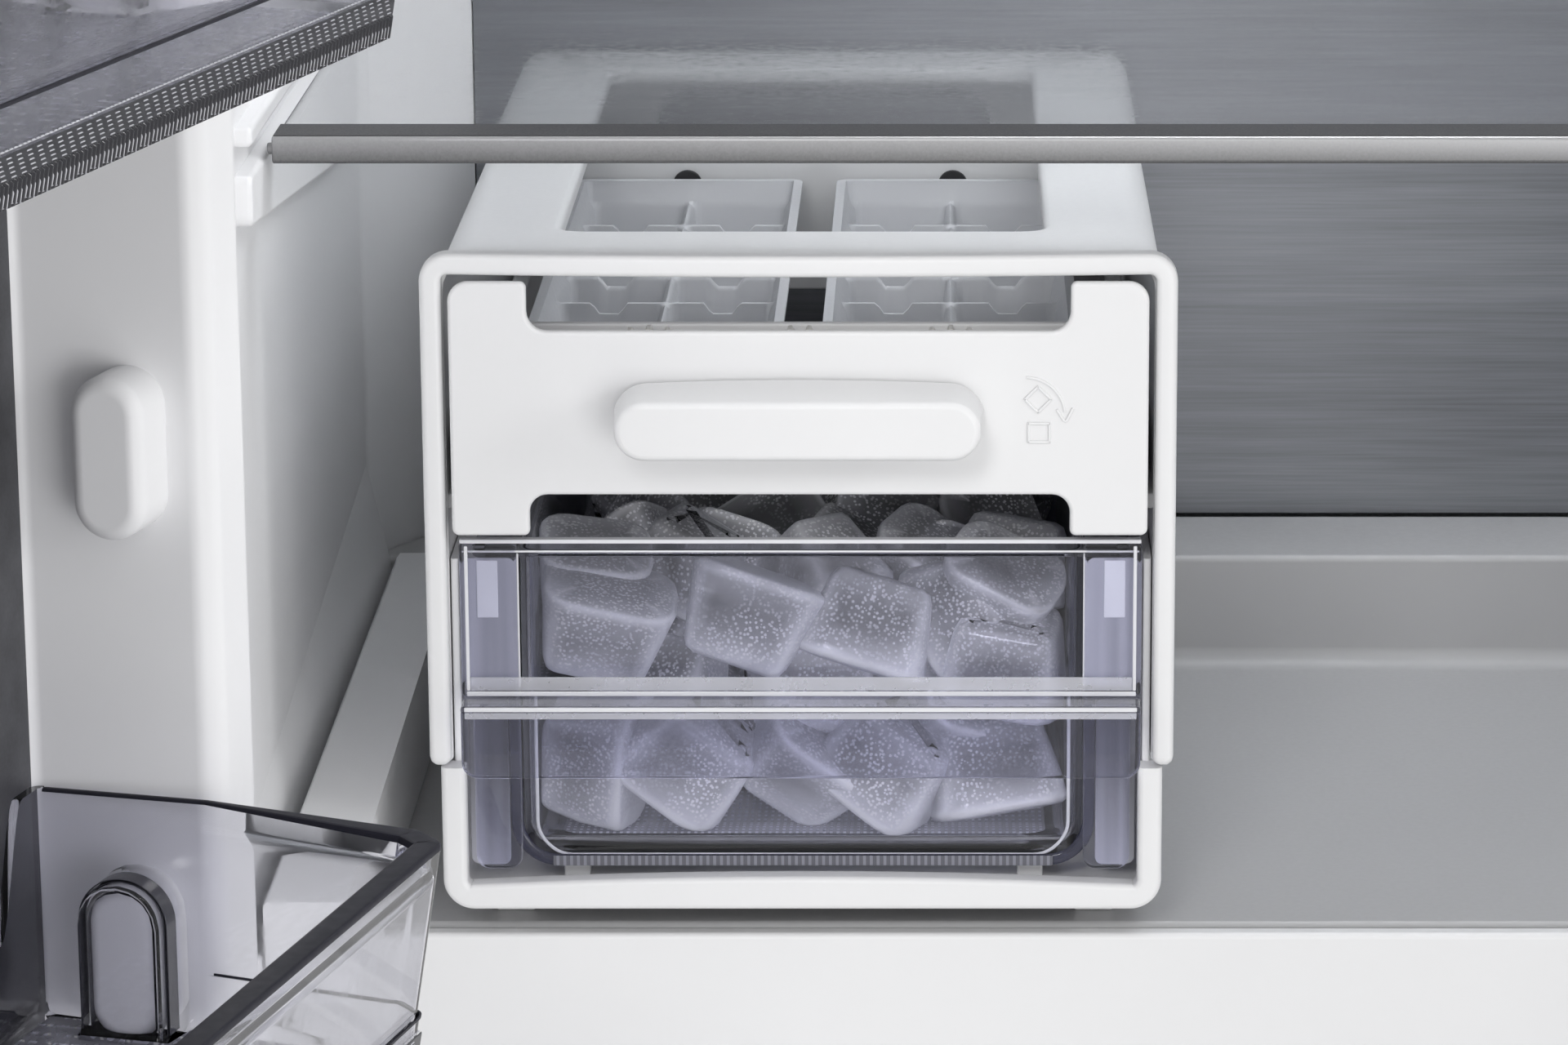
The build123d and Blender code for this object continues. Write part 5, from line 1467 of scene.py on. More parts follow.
@dataclass(frozen=True)
class IceMakerCase:
    """Fixed case of the ice maker: windowed cover, front rim and the cradle under it."""

    top: float = 1144.2
    front: float = -175.4
    back: float = 187.0
    half: float = 109.4
    rim_half: float = 113.5
    leg_bottom: float = 984.4
    cradle_bottom: float = 938.5
    cradle_half: float = 110.2
    walls_front: float = -168.0
    window_half: float = 74.0
    window_front: float = -132.0
    window_back: float = 142.0
    window_corner: float = 7.0
    round_top: float = 11.0
    thick: float = 2.5

    def build(self) -> None:
        """Make the cover and the cradle."""
        self._cover()
        self._cradle()

    def _walk(self, half: float, front: float, back: float) -> Outline:
        """Open plan line from the right front corner round the back to the left one.

        Its stops are close where the opening in the back has its edges.

        Args:
            half: Half width.
            front: Front end of the side walls.
            back: Rear face.

        Returns:
            The line.
        """
        back_stops = [0.9, 0.7, 0.5484, 0.548, 0.545, 0.53, 0.51, 0.48, 0.44, 0.2, -0.2]
        back_stops += [-stop for stop in back_stops[8::-1]]
        side_stops = [0.0, 0.2, 0.5, 0.8]
        right = [(half, front + (back - front) * stop) for stop in side_stops]
        rear = [(half * stop, back) for stop in back_stops]
        left = [(-x, y) for x, y in right[::-1]]
        corners = right + [(half, back)] + rear + [(-half, back)] + left
        rounding = [0.0] * len(right) + [8.0] + [0.0] * len(rear) + [8.0] + [0.0] * len(left)
        return rounded_outline(corners, rounding, 6, closed=False)

    def _with_front_arcs(self, line: Outline, half: float, front: float, radius: float) -> Outline:
        """Lead each end of a plan line round a front corner.

        Args:
            line: The plan line.
            half: Half width.
            front: Front face.
            radius: Radius of the corner; 0 stacks the points there.

        Returns:
            The longer line.
        """
        angles = np.linspace(-math.pi / 2, 0, 7)[:-1]
        way = np.stack([np.cos(angles), np.sin(angles)], axis=1)
        step = np.arange(6)[:, None] * 0.05
        centre = np.array([half - radius, front + radius])
        right = centre + radius * way if radius else np.array([half, front]) + step * [0, 1]
        way = way if radius else np.repeat([[1.0, 0.0]], 6, 0)
        left = right[::-1] * [-1, 1]
        return Outline(
            np.concatenate([right, line.points, left]),
            np.concatenate([way, line.normals, way[::-1] * [-1, 1]]),
            closed=False,
        )

    def _cover(self) -> None:
        """Loft the cover from its window to its walls, then close it with a strip at the front.

        A place is a share of the way from the window's line to the walls' line. The back wall ends
        higher up where it is open, under a lintel with rounded ends.
        """
        top = self.top - 1.4
        corner, radius, thick = self.window_corner, self.round_top, self.thick
        outer = self._walk(self.half, self.walls_front + 0.4, self.back)
        outer = self._with_front_arcs(outer, self.half, self.walls_front, 0.0)
        window = self._walk(self.window_half, self.window_front + corner, self.window_back)
        window = self._with_front_arcs(window, self.window_half, self.window_front, corner)
        across = np.abs(outer.points[:, 0])
        arch = 1115.0 + np.sqrt(np.clip(144 - np.clip(across - 48, 0, 12) ** 2, 0, None))
        opening = (outer.normals[:, 1] > 0.99) & (across <= 59.99)
        bottom = np.where(opening, arch, self.leg_bottom)
        rows, strip = [], []

        def row(share: float, offset: float, z: np.ndarray | float) -> None:
            """Add a mesh line of the cover, and the place where it meets the strip.

            Args:
                share: Share of the way from the window's line to the walls' line.
                offset: Outward move.
                z: Height, one value or one for each point.
            """
            near = window.points + offset * window.normals
            far = outer.points + offset * outer.normals
            flat = near + (far - near) * share
            rows.append(np.concatenate([flat, np.broadcast_to(z, len(flat))[:, None]], axis=1))
            if np.ndim(z) == 0 and (share == 0 or offset <= -radius + 0.01):
                depth = self.window_front - offset if share == 0 else self.walls_front
                strip.append((depth, z - 0.02))

        quarter = np.linspace(0, math.pi / 2, 7)
        for offset, drop in ((0.6, 5.4), (0.0, 4.8)):
            row(0, offset, top - drop)
        for angle in quarter[::2]:
            row(0, 2.4 * (1 - np.cos(angle)), top - 2.4 * (1 - np.sin(angle)))
        row(0, 5.0, top)
        for angle in quarter:
            row(1, -radius * (1 - np.sin(angle)), top - radius * (1 - np.cos(angle)))
        for offset, rise in ((0.0, 0.8), (-0.8, 0.0), (0.8 - thick, 0.0), (-thick, 0.8)):
            row(1, offset, bottom + rise)
        inner = radius - thick
        for angle in quarter[::-1]:
            row(1, -thick - inner * (1 - np.sin(angle)), top - thick - inner * (1 - np.cos(angle)))
        for offset, drop in ((5.0, thick), (3.0, 3.2), (2.4, 4.8), (1.8, 5.4)):
            row(0, offset, top - drop)
        section = np.array(strip)
        reach = 67.0 + 31.4 * (self.window_front - section[:, 0]) / 36.0
        across = np.linspace(-1, 1, 9)[:, None] * reach
        front_strip = np.empty((*across.shape, 3))
        front_strip[..., :2] = section
        front_strip[..., 2] = across
        shell = maker_shell("maker_cover")
        shell.grid(np.stack(rows), rows_join=True, caps=("left", "right"))
        shell.lay(Axes.SIDE).grid(front_strip, columns_join=True, caps=("first", "last"))
        shell.lay(Axes.PLAN)
        shell.box((-61, 184.6, self.leg_bottom), (61, 187, 1003), 0.6)
        for side in (-1, 1):
            low, high = sorted((side * 97.0, side * 108.0))
            shell.box((low, -164, 1063), (high, 116, 1067.7), 0.8)
        shell.lay(Axes.FRONT)
        half, foot = self.rim_half, self.leg_bottom
        xs = np.linspace(-0.9, 0.9, 13) * half
        sag = 1.0 * (1 - (xs / half) ** 2)
        over = [(x, self.top - s) for x, s in zip(xs, sag)]
        corners = [(-half, foot), (-half, self.top), *over]
        corners += [(half, self.top), (half, foot)]
        path = rounded_outline(corners, [0, 8.5] + [0] * len(over) + [8.5, 0], 10, closed=False)
        shell.bar(path, 6.5, self.front, self.front + 8.4, 1.9, end=3.0)
        shell.make("moulded_white", "cabinet", "ice_cover")

    def _cradle(self) -> None:
        """Make the U-shaped front frame, whose foot bulges inward, and the tub and runners behind it."""
        shell = maker_shell("maker_cradle", Axes.FRONT)
        half, low = self.cradle_half, self.cradle_bottom
        head = self.leg_bottom - 0.4
        xs = np.linspace(-0.86, 0.86, 13) * half
        under = [(x, low) for x in xs]
        corners = [(-half, head), (-half, low), *under]
        corners += [(half, low), (half, head)]
        path = rounded_outline(corners, [0, 9.5] + [0] * len(under) + [9.5, 0], 10, closed=False)
        across = np.clip(np.abs(path.points[:, 0]) / (half - 8), 0, 1)
        flat = path.normals[:, 1] < -0.9
        thick = np.where(flat, 7.9 + 2.6 * (1 - across**2), 7.5)
        shell.bar(path, -thick, self.front, self.front + 8.6, 1.9)
        walls = [(-106.5, 1048), (-106.5, 942), (106.5, 942), (106.5, 1048)]
        channel = rounded_outline(walls, [0, 5, 5, 0], 6, closed=False)
        shell.bar(channel, -2.4, -167.0, 122.0, 0.8)
        shell.lay(Axes.PLAN)
        shell.box((-106, 119.5, 941.5), (106, 122, 1000), 0.6)
        for side in (-1, 1):
            foot = side * 90
            rib = side * 70
            shell.box((foot - 6, -150, 930), (foot + 6, 100, 942.4), 0.8)
            shell.box((rib - 4, -160, 944), (rib + 4, 110, 949.4), 0.8)
        shell.make("moulded_white", "cabinet", "ice_cradle")


@dataclass(frozen=True)
class TrayCarrier:
    """Sliding carrier with its wide front plate, and the twist knob on it."""

    axis_z: float = 1095.0
    spacing: float = 45.5

    def build(self) -> None:
        """Make the carrier and the knob."""
        self._carrier()
        self._knob()

    def _carrier(self) -> None:
        """Make the front plate, notched above and below, the bulkhead, the beams and the rear wall."""
        low, high, half, notch = 1057.7, 1135.8, 104.9, 81.4
        shell = maker_shell("carrier", Axes.FRONT)
        corners = [
            (-half, low), (-notch, low), (-notch, 1070.4), (notch, 1070.4), (notch, low),
            (half, low), (half, high), (notch, high), (notch, 1120.8), (-notch, 1120.8),
            (-notch, high), (-half, high),
        ]
        radii = [2.2, 1.9, 5.5, 5.5, 1.9, 2.2, 6.0, 2.0, 6.0, 6.0, 2.0, 6.0]
        face = rounded_outline(corners, radii, 8)
        shell.plate(face, -177.0, -174.0, 0.4, 1.3)
        self._sign(shell)
        bulkhead = rectangle((-100, 1072), (100, 1119), 2)
        shell.plate(bulkhead, -157.0, -153.5, 0.8)
        shell.plate(rectangle((-100, 1072), (100, 1117.6), 2), 115.0, 118.0, 0.8)
        for side in (-1, 1):
            x = side * self.spacing
            shell.plate(circle((x, self.axis_z), 15, 40), 114.8, 118.0, 0.8)
            edge = sorted((side * 98, side * 104))
            shell.lay(Axes.PLAN).box((edge[0], -174.5, 1068), (edge[1], 118, 1088), 1.0)
            shell.lay(Axes.FRONT)
        shell.make("moulded_white", "tray_slider", "tray_carrier")
        eyes = maker_shell("carrier_eyes", Axes.FRONT)
        for side in (-1, 1):
            centre = (side * 46.4, 1109.6)
            eyes.plate(circle(centre, 5.2, 32), 113.2, 114.8, 0.4)
        eyes.make("black_plastic", "tray_slider")

    def _sign(self, shell: Shell) -> None:
        """Embossed sign for turning: a diamond, a square and an arrow bent round them.

        Args:
            shell: The carrier's surfaces.
        """
        depth = (-177.7, -176.6)
        for points in (
            [(67.2, 1100.1), (71.7, 1095.6), (76.2, 1100.1), (71.7, 1104.6)],
            [(68.5, 1086.6), (75.6, 1086.6), (75.6, 1093.1), (68.5, 1093.1)],
        ):
            shell.bar(rounded_outline(points, 0.3, 2), -0.8, *depth, edge=0.25)
        angles = np.radians(np.linspace(88, 6, 15))
        way = np.stack([np.cos(angles), np.sin(angles)], axis=1)
        arc = Outline(np.array([67.9, 1095.0]) + 12.3 * way, way, closed=False)
        shell.bar(arc, -0.8, *depth, edge=0.25)
        head = [(77.7, 1097.2), (79.9, 1093.6), (81.9, 1097.6)]
        tip = rounded_outline(head, [0, 0.2, 0], 2, closed=False)
        shell.bar(tip, 0.8, *depth, edge=0.25)

    def _knob(self) -> None:
        """Make the wide grip, whose top is arched, and its stem."""
        shell = maker_shell("knob", Axes.FRONT)
        half, tall = 54.5, 9.0
        along = [-half, *np.linspace(-44, 44, 13), half]
        base = [(x, self.axis_z - tall) for x in along]
        base += [(x, self.axis_z + tall) for x in along[::-1]]
        radii = ([tall - 0.01] + [0] * 13 + [tall - 0.01]) * 2
        line = rounded_outline(base, radii, 12)
        across = line.points[:, 0] / half
        arch = np.where(line.normals[:, 1] > 0.2, 1.0 + 1.4 * (1 - across**2), 0.0)
        quarter = np.linspace(0, math.pi / 2, 7)
        back = [(arch - 0.4, -178.4), (arch + 0.2, -179.4), (0 * arch, -196.6)]
        front = [(2.2 * (np.cos(a) - 1) + 0 * arch, -196.8 - 2.2 * np.sin(a)) for a in quarter]
        offsets, depths = zip(*back, *front)
        shell.carried(line, np.stack(offsets), np.array(depths))
        shell.plate(circle((0, self.axis_z), 7, 40), -190.0, -160.5, 0.4)
        shell.plate(circle((0, self.axis_z), 5, 32), -160.6, -152.6, 0.4)
        shell.make("moulded_white", "knob", "twist_knob")


@dataclass(frozen=True)
class IceTrays:
    """Two twisting trays, each with two columns of cells, on their pivots."""

    axis_z: float = 1095.0
    spacing: float = 45.5
    half: float = 39.5
    top: float = 1112.0
    front: float = -151.0
    back: float = 112.0
    rows: int = 6
    recess: float = 7.0
    depth: float = 26.0

    def build(self) -> None:
        """Make both trays."""
        for name, side in (("left", -1), ("right", 1)):
            shell = maker_shell("tray_" + name)
            self._dish(shell, side * self.spacing)
            shell.lay(Axes.FRONT)
            centre = (side * self.spacing, self.axis_z)
            shell.plate(circle(centre, 5, 32), -172.5, -146.0, 0.5)
            shell.plate(circle(centre, 5, 32), 107.0, 119.5, 0.5)
            shell.make("tray_white", "tray_" + name, "ice_tray_" + name, smooth=60)

    def _dish(self, shell: Shell, centre: float) -> None:
        """Height field over a rounded rectangle: a shallow recess, then a pit for each cell.

        Each pit is a smooth step of the distance to the nearest cell wall.

        Args:
            shell: The tray's surfaces.
            centre: Middle of the tray along x.
        """
        length = (self.back - self.front) / 2
        x = np.linspace(-self.half, self.half, 53)
        y = np.linspace(-length, length, 171)
        flat_x, flat_y = np.meshgrid(x, y, indexing="ij")
        edge = np.minimum(self.half - np.abs(flat_x), length - np.abs(flat_y))
        pitch = (2 * length - 9) / self.rows
        local = np.abs((flat_y + length - 4.5) / pitch % 1.0 - 0.5) * pitch
        to_wall = np.minimum(pitch / 2 - local, np.abs(flat_x))
        to_wall = np.minimum(to_wall, edge - 4.5)
        notch = 3.5 * ease((6 - np.abs(np.abs(flat_x) - 18)) / 3)
        sill = self.recess + np.where(edge > 6, notch, 0) * ease((edge - 6) / 3)
        upper = sill * ease((edge - 3.2) / 1.6)
        upper = upper + (self.recess + self.depth - upper) * ease((to_wall - 0.9) / 4.2)
        lower = np.minimum(upper + 1.7, self.recess + self.depth + 1.8)
        lower = np.where(edge < 2.0, 2.0, np.maximum(lower, 2.0))
        shift = self._round_corners(flat_x, flat_y, length)
        middle = (self.front + self.back) / 2
        for drop in (upper, lower):
            shell.grid(np.stack([shift[0] + centre, shift[1] + middle, self.top - drop], axis=-1))
        count = x.size * y.size
        base = shell.count - 2 * count
        index = np.arange(count).reshape(x.size, y.size)
        rim = np.concatenate([index[:-1, 0], index[-1, :-1], index[:0:-1, -1], index[0, :0:-1]])
        after = np.roll(rim, -1)
        ring = [base + rim, base + after, base + count + after, base + count + rim]
        shell.faces += np.stack(ring, axis=1).tolist()

    def _round_corners(
        self, x: np.ndarray, y: np.ndarray, length: float, radius: float = 5.0
    ) -> tuple[np.ndarray, np.ndarray]:
        """Map each corner square of the grid onto a quarter disc.

        Args:
            x: Grid of x from the tray's middle.
            y: Grid of y from the tray's middle.
            length: Half length of the tray.
            radius: Radius of its corners.

        Returns:
            The new x and y.
        """
        over_x = np.clip((np.abs(x) - self.half + radius) / radius, 0, 1)
        over_y = np.clip((np.abs(y) - length + radius) / radius, 0, 1)
        both = (over_x > 0) & (over_y > 0)
        disc_x = over_x * np.sqrt(1 - over_y**2 / 2)
        disc_y = over_y * np.sqrt(1 - over_x**2 / 2)
        new_x = np.where(both, np.sign(x) * (self.half - radius + radius * disc_x), x)
        new_y = np.where(both, np.sign(y) * (length - radius + radius * disc_y), y)
        return new_x, new_y


@dataclass(frozen=True)
class IceBin:
    """Clear bin: a narrow tub behind a wide front panel with a hanging skirt, and its ice.

    Args:
        front_ice: For each front piece of ice its middle, its roll, tilt and turn, and its size.
    """

    half: float = 100.5
    panel_half: float = 103.6
    low: float = 949.5
    high: float = 1055.2
    ledge: float = 1005.4
    ice_seed: int = 11
    front_ice: tuple = (
        (-62.3, -144.0, 1020.2, 14, 12, 4, 1.0),
        (-17.1, -144.0, 1023.3, 19, -10, -6, 1.02),
        (21.3, -146.0, 1021.2, 198, 14, 6, 1.0),
        (51.6, -136.0, 1024.0, 238, -20, 20, 0.92),
        (71.9, -134.0, 1029.5, 20, 25, -14, 0.9),
        (64.7, -143.0, 1011.5, 186, -16, 8, 0.98),
        (3.6, -118.0, 1031.0, 150, 30, 40, 0.95),
        (-42.4, -128.0, 999.3, 200, 20, 30, 0.9),
        (1.3, -136.0, 997.6, 8, -25, 10, 0.92),
        (-70.3, -145.0, 972.5, 96, 14, 6, 1.0),
        (-35.6, -145.0, 968.5, 222, -12, -8, 1.04),
        (-0.0, -142.0, 975.6, 40, 18, 10, 0.98),
        (26.7, -145.0, 967.7, 214, -14, 12, 1.02),
        (62.8, -144.0, 970.1, 170, 16, -8, 1.02),
        (49.6, -132.0, 987.2, 30, 30, 20, 0.9),
        (-68.0, -124.0, 1043.0, 12, 20, 8, 0.85),
        (-36.0, -112.0, 1041.0, 200, -16, 24, 0.85),
        (37.0, -112.0, 1042.0, 24, 22, -20, 0.85),
        (70.0, -112.0, 1043.0, 190, 12, 12, 0.9),
    )

    def build(self) -> None:
        """Make the bin and the ice in it."""
        shell = maker_shell("bin_clear", Axes.FRONT)
        left, right = -self.panel_half, self.panel_half
        for side in (-1, 1):
            low, high = sorted((side * 86.2, side * self.panel_half))
            shell.plate(rectangle((low, 1003), (high, self.high - 1.2), 1.2, 4), -171.3, -168.2, 0.9)
            low, high = sorted((side * 86.2, side * self.half))
            shell.plate(rectangle((low, self.low), (high, 1003.2), 4, 6), -168.0, -165.6, 0.7)
        corners = [(left + 0.4, 982.6), (right - 0.4, 982.6), (right - 0.4, 1004), (left + 0.4, 1004)]
        shell.plate(rounded_outline(corners, [5, 5, 1, 1], 8), -182.0, -179.5, 0.8)
        shell.plate(rectangle((left + 0.4, 1003), (right - 0.4, self.ledge), 1.0, 3), -181.8, -165.6, 0.6)
        shell.lay(Axes.PLAN)
        corners = [(-86, -165.4), (86, -165.4), (86, 116), (-86, 116)]
        line = rounded_outline(corners, [6, 6, 10, 10], 8)
        section = [(-12, self.low), (0, self.low), (0, 1050), (-2.8, 1050), (-2.8, 954), (-16, 954)]
        offsets, depths = rounded_line(section, [0, 7, 1.0, 1.0, 9, 0], 7)
        shell.carried(line, offsets, depths)
        ring = rounded_outline([(x * 1.166, y) for x, y in corners], [4, 4, 8, 8], 8)
        shell.bar(ring, -14.0, 1048, 1050, 0.6)
        shell.make("bin_wall", "ice_drawer", "ice_bin")
        self._edges(left, right)
        self._ice()

    def _tub_front(self, half: float, bottom: float, radius: float) -> Outline:
        """U-shaped line round the front of the tub, open at the top.

        Args:
            half: Half width.
            bottom: Lowest height.
            radius: Radius of the lower corners.

        Returns:
            The line.
        """
        corners = [(-half, 1002.0), (-half, bottom), (half, bottom), (half, 1002.0)]
        return rounded_outline(corners, [0, radius, radius, 0], 10, closed=False)

    def _edges(self, left: float, right: float) -> None:
        """Pale bars of painted highlight along the edges, the smoky return of the tub and its dimpled floor.

        Args:
            left: Left edge of the front panel.
            right: Right edge of the front panel.
        """
        # Pale bars: painted highlights along the panel's edges, its ledge and the tub's corners; the short
        # wide pair are clips.
        shell = maker_shell("bin_edges", Axes.FRONT)
        for low, high in (
            ((left + 0.3, -171.6, self.high - 1.3), (right - 0.3, -168.2, self.high)),
            ((left + 0.9, -171.2, 1051.0), (right - 0.9, -170.6, 1051.7)),
            ((left + 1.6, -171.9, 1005.9), (right - 1.6, -171.2, 1007.4)),
            ((left + 1.6, -182.5, 1003.9), (right - 1.6, -181.7, 1005.3)),
            ((left + 1.6, -171.9, 1007.6), (left + 2.7, -171.2, self.high - 2.0)),
            ((right - 2.7, -171.9, 1007.6), (right - 1.6, -171.2, self.high - 2.0)),
            ((left + 5.0, -168.1, 1030.0), (left + 11.5, -167.3, 1048.0)),
            ((right - 11.5, -168.1, 1030.0), (right - 5.0, -167.3, 1048.0)),
            ((left + 17.0, -168.1, 1008.0), (left + 17.8, -167.3, 1050.0)),
            ((right - 17.8, -168.1, 1008.0), (right - 17.0, -167.3, 1050.0)),
        ):
            shell.box(low, high, 0.3)
        shell.bar(self._tub_front(81.0, 953.6, 10.0), 1.0, -163.2, -162.3, 0.35)
        shell.make("bin_bead", "ice_drawer")
        # Pale strips along the ledge and the skirt's top: painted light for the bright bands there.
        haze = maker_shell("bin_haze", Axes.FRONT)
        haze.box((left + 2.8, -171.6, 1007.6), (right - 2.8, -170.8, 1011.8), 0.35)
        haze.box((left + 1.7, -182.3, 1001.6), (right - 1.7, -181.6, 1003.6), 0.3)
        haze.make("bin_haze", "ice_drawer")
        # Opaque flanks beside the tub, with light, shade and reflections painted on them.
        flank = maker_shell("bin_flanks", Axes.FRONT)
        for side in (-1, 1):
            for inner, outer, low, high, y in (
                (86.8, 103.0, 1008.0, 1048.8, -167.9), (89.9, 102.2, 950.2, 1002.0, -165.2),
            ):
                ends = sorted((side * inner, side * outer))
                flank.plate(rectangle((ends[0], low), (ends[1], high), 2.5, 5), y, y + 1.0, 0.3)
        flank.make("bin_flank", "ice_drawer")
        band = maker_shell("bin_band", Axes.FRONT)
        band.bar(self._tub_front(86.1, 953.2, 11.0), 3.6, -165.5, -162.4, 0.8)
        band.make("bin_smoke", "ice_drawer")
        floor = maker_shell("bin_dimples")
        floor.plate(rectangle((-75, -154), (75, 104), 6), 954.05, 954.5, 0.15)
        floor.make("bin_floor", "ice_drawer")
        lip = maker_shell("bin_lip")
        lip.box((-77, -165.9, 949.8), (77, -165.5, 953.0), 0.15)
        lip.make("bin_lip", "ice_drawer")

    def _block(self) -> np.ndarray:
        """Make one ice piece, a rounded rectangle carried along a profile.

        Returns:
            Its grid of places round its own middle.
        """
        base = rectangle((-16.5, -13.0), (16.5, 13.0), 6.0, 4)
        moves_and_heights = (
            (-9.0, -14.6), (-4.5, -14.4), (-1.6, -13.2), (-0.3, -10.6), (1.2, -4.0), (2.6, 3.0),
            (4.0, 10.2), (4.5, 12.4), (3.9, 13.9), (2.2, 14.6), (-6.0, 15.2),
        )
        profile = np.array(moves_and_heights)
        flat = base.points[None] + profile[:, :1, None] * base.normals[None]
        heights = np.broadcast_to(profile[:, 1:, None], flat.shape[:2] + (1,))
        return np.concatenate([flat, heights], axis=-1)

    def _ice(self) -> None:
        """Ice pieces, which narrow towards their base as the cells of a tray do.

        The pieces behind the front wall lie as in front_ice; those further back are turned at
        random and get a darker, opaque copy of the ice's finish: painted shade.
        """
        block = self._block()
        shell = maker_shell("ice_front")
        for x, y, z, roll, tilt, yaw, size in self.front_ice:
            turn = _turned(math.radians(roll), math.radians(tilt), math.radians(yaw))
            self._lay_ice(shell, size * block @ turn.T + [x, y, z])
        shell.make("ice", "ice_drawer", smooth=50)
        chance = np.random.default_rng(self.ice_seed)
        heap = maker_shell("ice_back")
        for layer, z in enumerate((975.5, 1000.0, 1025.0)):
            for row, y in enumerate(np.arange(-100.0, 92.0, 36.0)):
                for x in np.arange(-55.0, 56.0, 36.6):
                    spin, _ = np.linalg.qr(chance.normal(size=(3, 3)))
                    shift = 9.0 if (layer + row) % 2 else -9.0
                    jolt = chance.uniform(-4, 4, 3)
                    across = np.clip(x + shift + jolt[0], -57, 57)
                    where = np.array([across, y + abs(jolt[1]), z + 0.6 * jolt[2]])
                    self._lay_ice(heap, chance.uniform(0.88, 1.0) * block @ spin.T + where)
        heap.make("ice_shaded", "ice_drawer", smooth=50)

    def _lay_ice(self, shell: Shell, places: np.ndarray) -> None:
        """Add one ice piece, moved just far enough to lie inside the tub.

        Its attribute lit, painted light, is high along its rounded edges and grows towards its underside.

        Args:
            shell: Surfaces to add it to.
            places: Its grid of places.
        """
        low = np.array([-82.6, -162.2, 954.6])
        high = np.array([82.6, 112.5, 1049.5])
        flat = places.reshape(-1, 3)
        inward = np.maximum(low - flat.min(0), 0) - np.maximum(flat.max(0) - high, 0)
        shell.grid(places + inward, columns_join=True, caps=("first", "last"))
        # Painted highlights along the rims and corners, and painted light growing towards the underside.
        rims = np.array([0.0, 0.1, 0.6, 0.4, 0.0, 0.0, 0.4, 0.9, 1.0, 0.4, 0.0])
        corners = np.tile([0.0, 0.3, 0.8, 0.3, 0.0], 4)
        height = (flat[:, 2] - flat[:, 2].min()) / np.ptp(flat[:, 2])
        edges = np.maximum(rims[:, None], corners[None]).reshape(-1)
        shell.lit.append(0.75 * edges + 0.6 * (1 - height) ** 2 - 0.25)


def _turned(roll: float, tilt: float, yaw: float) -> np.ndarray:
    """Rotation that rolls about the front-to-back axis, after a tilt about x and a turn about z.

    Args:
        roll: Angle about y.
        tilt: Angle about x.
        yaw: Angle about z.

    Returns:
        The matrix.
    """
    cosine, sine = np.cos([roll, tilt, yaw]), np.sin([roll, tilt, yaw])
    about_y = np.array([[cosine[0], 0, sine[0]], [0, 1, 0], [-sine[0], 0, cosine[0]]])
    about_x = np.array([[1, 0, 0], [0, cosine[1], -sine[1]], [0, sine[1], cosine[1]]])
    about_z = np.array([[cosine[2], -sine[2], 0], [sine[2], cosine[2], 0], [0, 0, 1]])
    return about_y @ about_x @ about_z


@dataclass(frozen=True)
class Lamp:
    """Square lamp turned to a target.

    Args:
        name: Its name.
        place: Where it hangs, in metres.
        target: Where it points, in metres.
        size: Side length in metres.
        power: Power in watts.
    """

    name: str
    place: tuple
    target: tuple
    size: float
    power: float

    def build(self) -> None:
        """Hang the lamp."""
        lamp = bpy.data.lights.new(self.name, "AREA")
        lamp.size = self.size
        lamp.energy = self.power
        piece = bpy.data.objects.new(self.name, lamp)
        piece.location = self.place
        x, y, z = np.array(self.place) - np.array(self.target)
        piece.rotation_euler = (math.atan2(math.hypot(x, y), z), 0, math.atan2(x, -y))
        bpy.context.scene.collection.objects.link(piece)


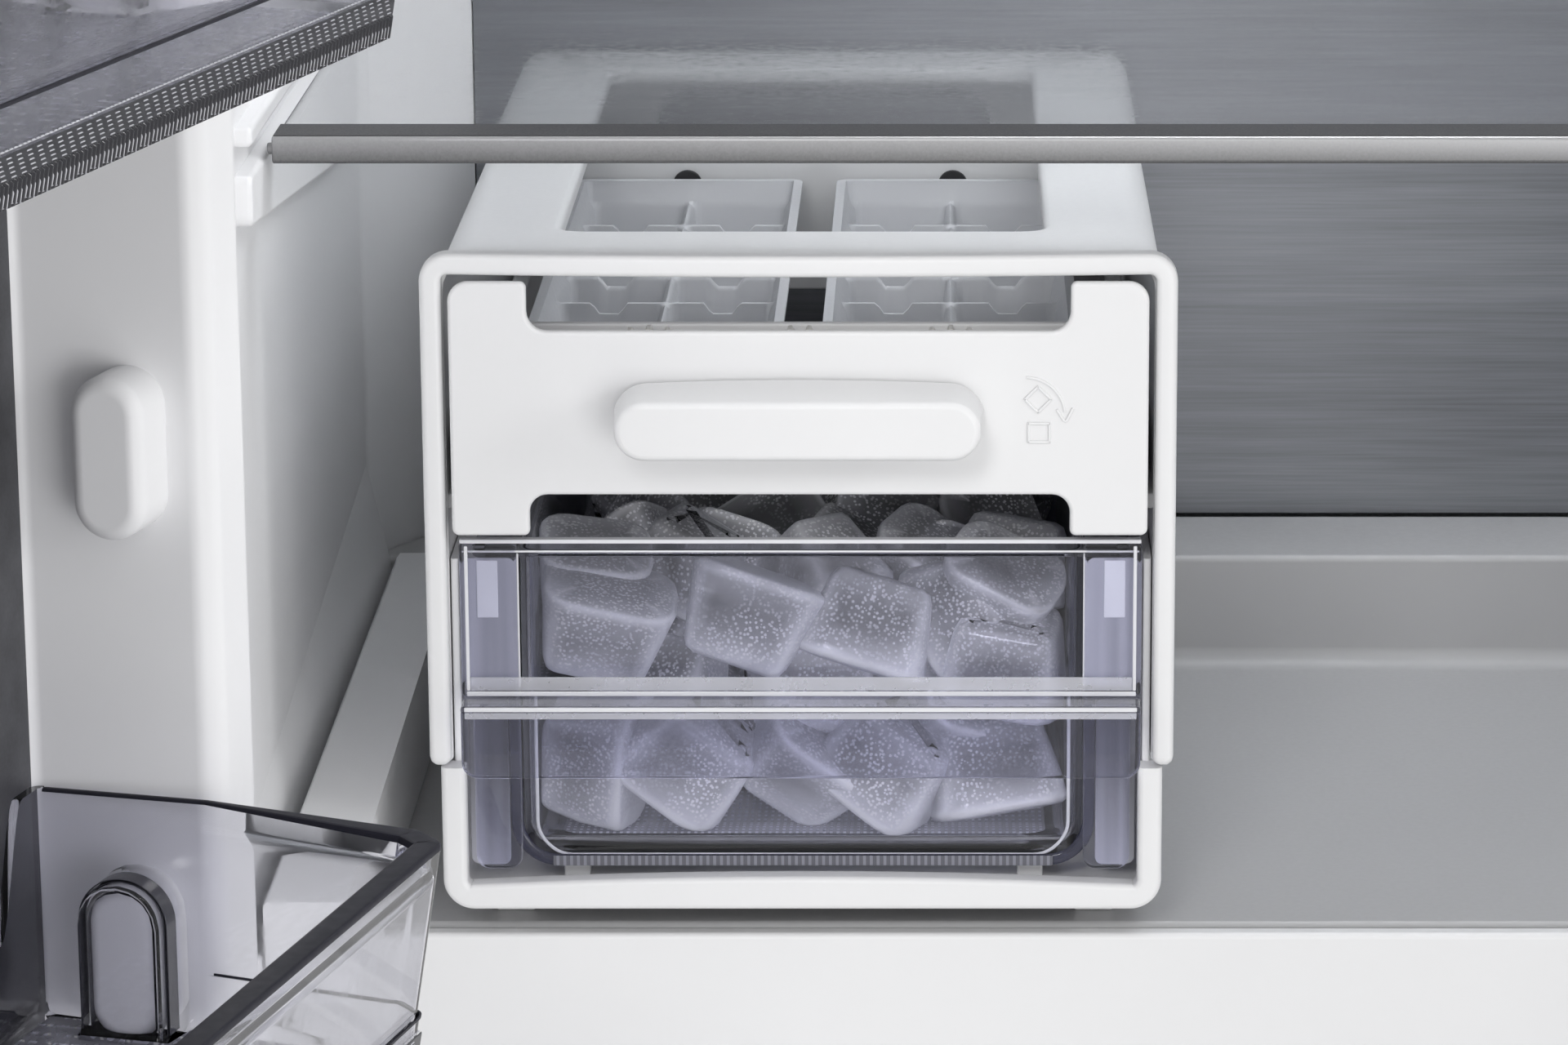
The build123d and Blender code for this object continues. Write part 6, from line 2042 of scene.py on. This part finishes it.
@dataclass(frozen=True)
class Studio:
    """Camera, lamps and floor.

    Args:
        camera_place: Where the photograph was taken from, in millimetres.
        camera_dip: How far the camera looks down, in degrees.
        lens: Focal length for a 36 mm wide frame.
        shift: Sideways shift of the picture as a share of its width.
        sky: Strength of the even white light from all sides.
        grey: How pale the floor is.
        floor_half: Half the floor's side length in metres.
    """

    camera_place: tuple = (-32.2, -1799.0, 1477.0)
    camera_dip: float = 14.353
    lens: float = 127.5
    shift: float = -200 / 1920
    sky: float = 0.77
    grey: float = 0.75
    floor_half: float = 6.0
    lamps: tuple = (
        Lamp("low", (0.9, -2.6, 0.9), (-0.05, -0.1, 1.1), 1.0, 15.5),
        Lamp("right", (2.3, -1.4, 1.8), (-0.3, -0.2, 1.14), 0.8, 11.0),
        Lamp("fill", (-0.5, -2.6, 2.4), (0, 0, 1.0), 0.6, 18.5),
        Lamp("inside", (0.10, 0.0, 1.70), (-0.05, 0.0, 1.0), 0.28, 1.75),
    )

    def build(self) -> None:
        """Put the whole studio in place."""
        self._camera()
        self._sky()
        for lamp in self.lamps:
            lamp.build()
        self._floor()
        bpy.context.scene.view_settings.view_transform = "Standard"

    def _camera(self) -> None:
        """Stand the camera where the photograph was taken from."""
        data = bpy.data.cameras.new("photo_camera")
        data.sensor_width = 36
        data.lens = self.lens
        data.shift_x = self.shift
        data.clip_start = 0.05
        data.clip_end = 50
        camera = bpy.data.objects.new("photo_camera", data)
        camera.location = np.array(self.camera_place) * MM
        camera.rotation_euler = (math.radians(90 - self.camera_dip), 0, 0)
        bpy.context.scene.collection.objects.link(camera)
        bpy.context.scene.camera = camera

    def _sky(self) -> None:
        """Light the scene evenly from all sides."""
        world = bpy.data.worlds.new("studio")
        world.use_nodes = True
        light = world.node_tree.nodes["Background"].inputs
        light["Color"].default_value = (1, 1, 1, 1)
        light["Strength"].default_value = self.sky
        bpy.context.scene.world = world

    def _floor(self) -> None:
        """Lay the pale floor."""
        half = self.floor_half
        corners = [(-half, -half, 0), (half, -half, 0), (half, half, 0), (-half, half, 0)]
        mesh = bpy.data.meshes.new("studio_floor")
        mesh.from_pydata(corners, [], [(0, 1, 2, 3)])
        floor = bpy.data.objects.new("studio_floor", mesh)
        floor.location.z = -0.5 * MM
        bpy.context.scene.collection.objects.link(floor)
        material = bpy.data.materials.new("studio_floor")
        material.use_nodes = True
        shader = material.node_tree.nodes["Principled BSDF"]
        shader.inputs["Base Color"].default_value = (self.grey, self.grey, self.grey, 1)
        shader.inputs["Roughness"].default_value = 0.7
        mesh.materials.append(material)


def main() -> None:
    logging.basicConfig(level=logging.INFO)
    paint_frame()
    for assembly in (
        Case(),
        Deck(),
        ShelfTrim("lower", 1171.4),
        ShelfTrim("upper", 1478.0),
        DoorBody(),
        DoorBin(1, -4, 17.0),
        DoorBin(2, -2, 17.0),
        DoorBin(3, 0, 17.0),
        DoorBin(4, 2, 23.0),
        DoorBin(5, 4, 23.0),
        Drawer(1, 97.0, 364.0, 44.0),
        Drawer(2, 370.0, 645.0, 148.0),
        Drawer(3, 651.0, 929.0, 148.0),
        IceMakerCase(),
        TrayCarrier(),
        IceTrays(),
        IceBin(),
    ):
        LOG.info("building %s", type(assembly).__name__)
        assembly.build()
    Studio().build()


if __name__ == "__main__":
    main()
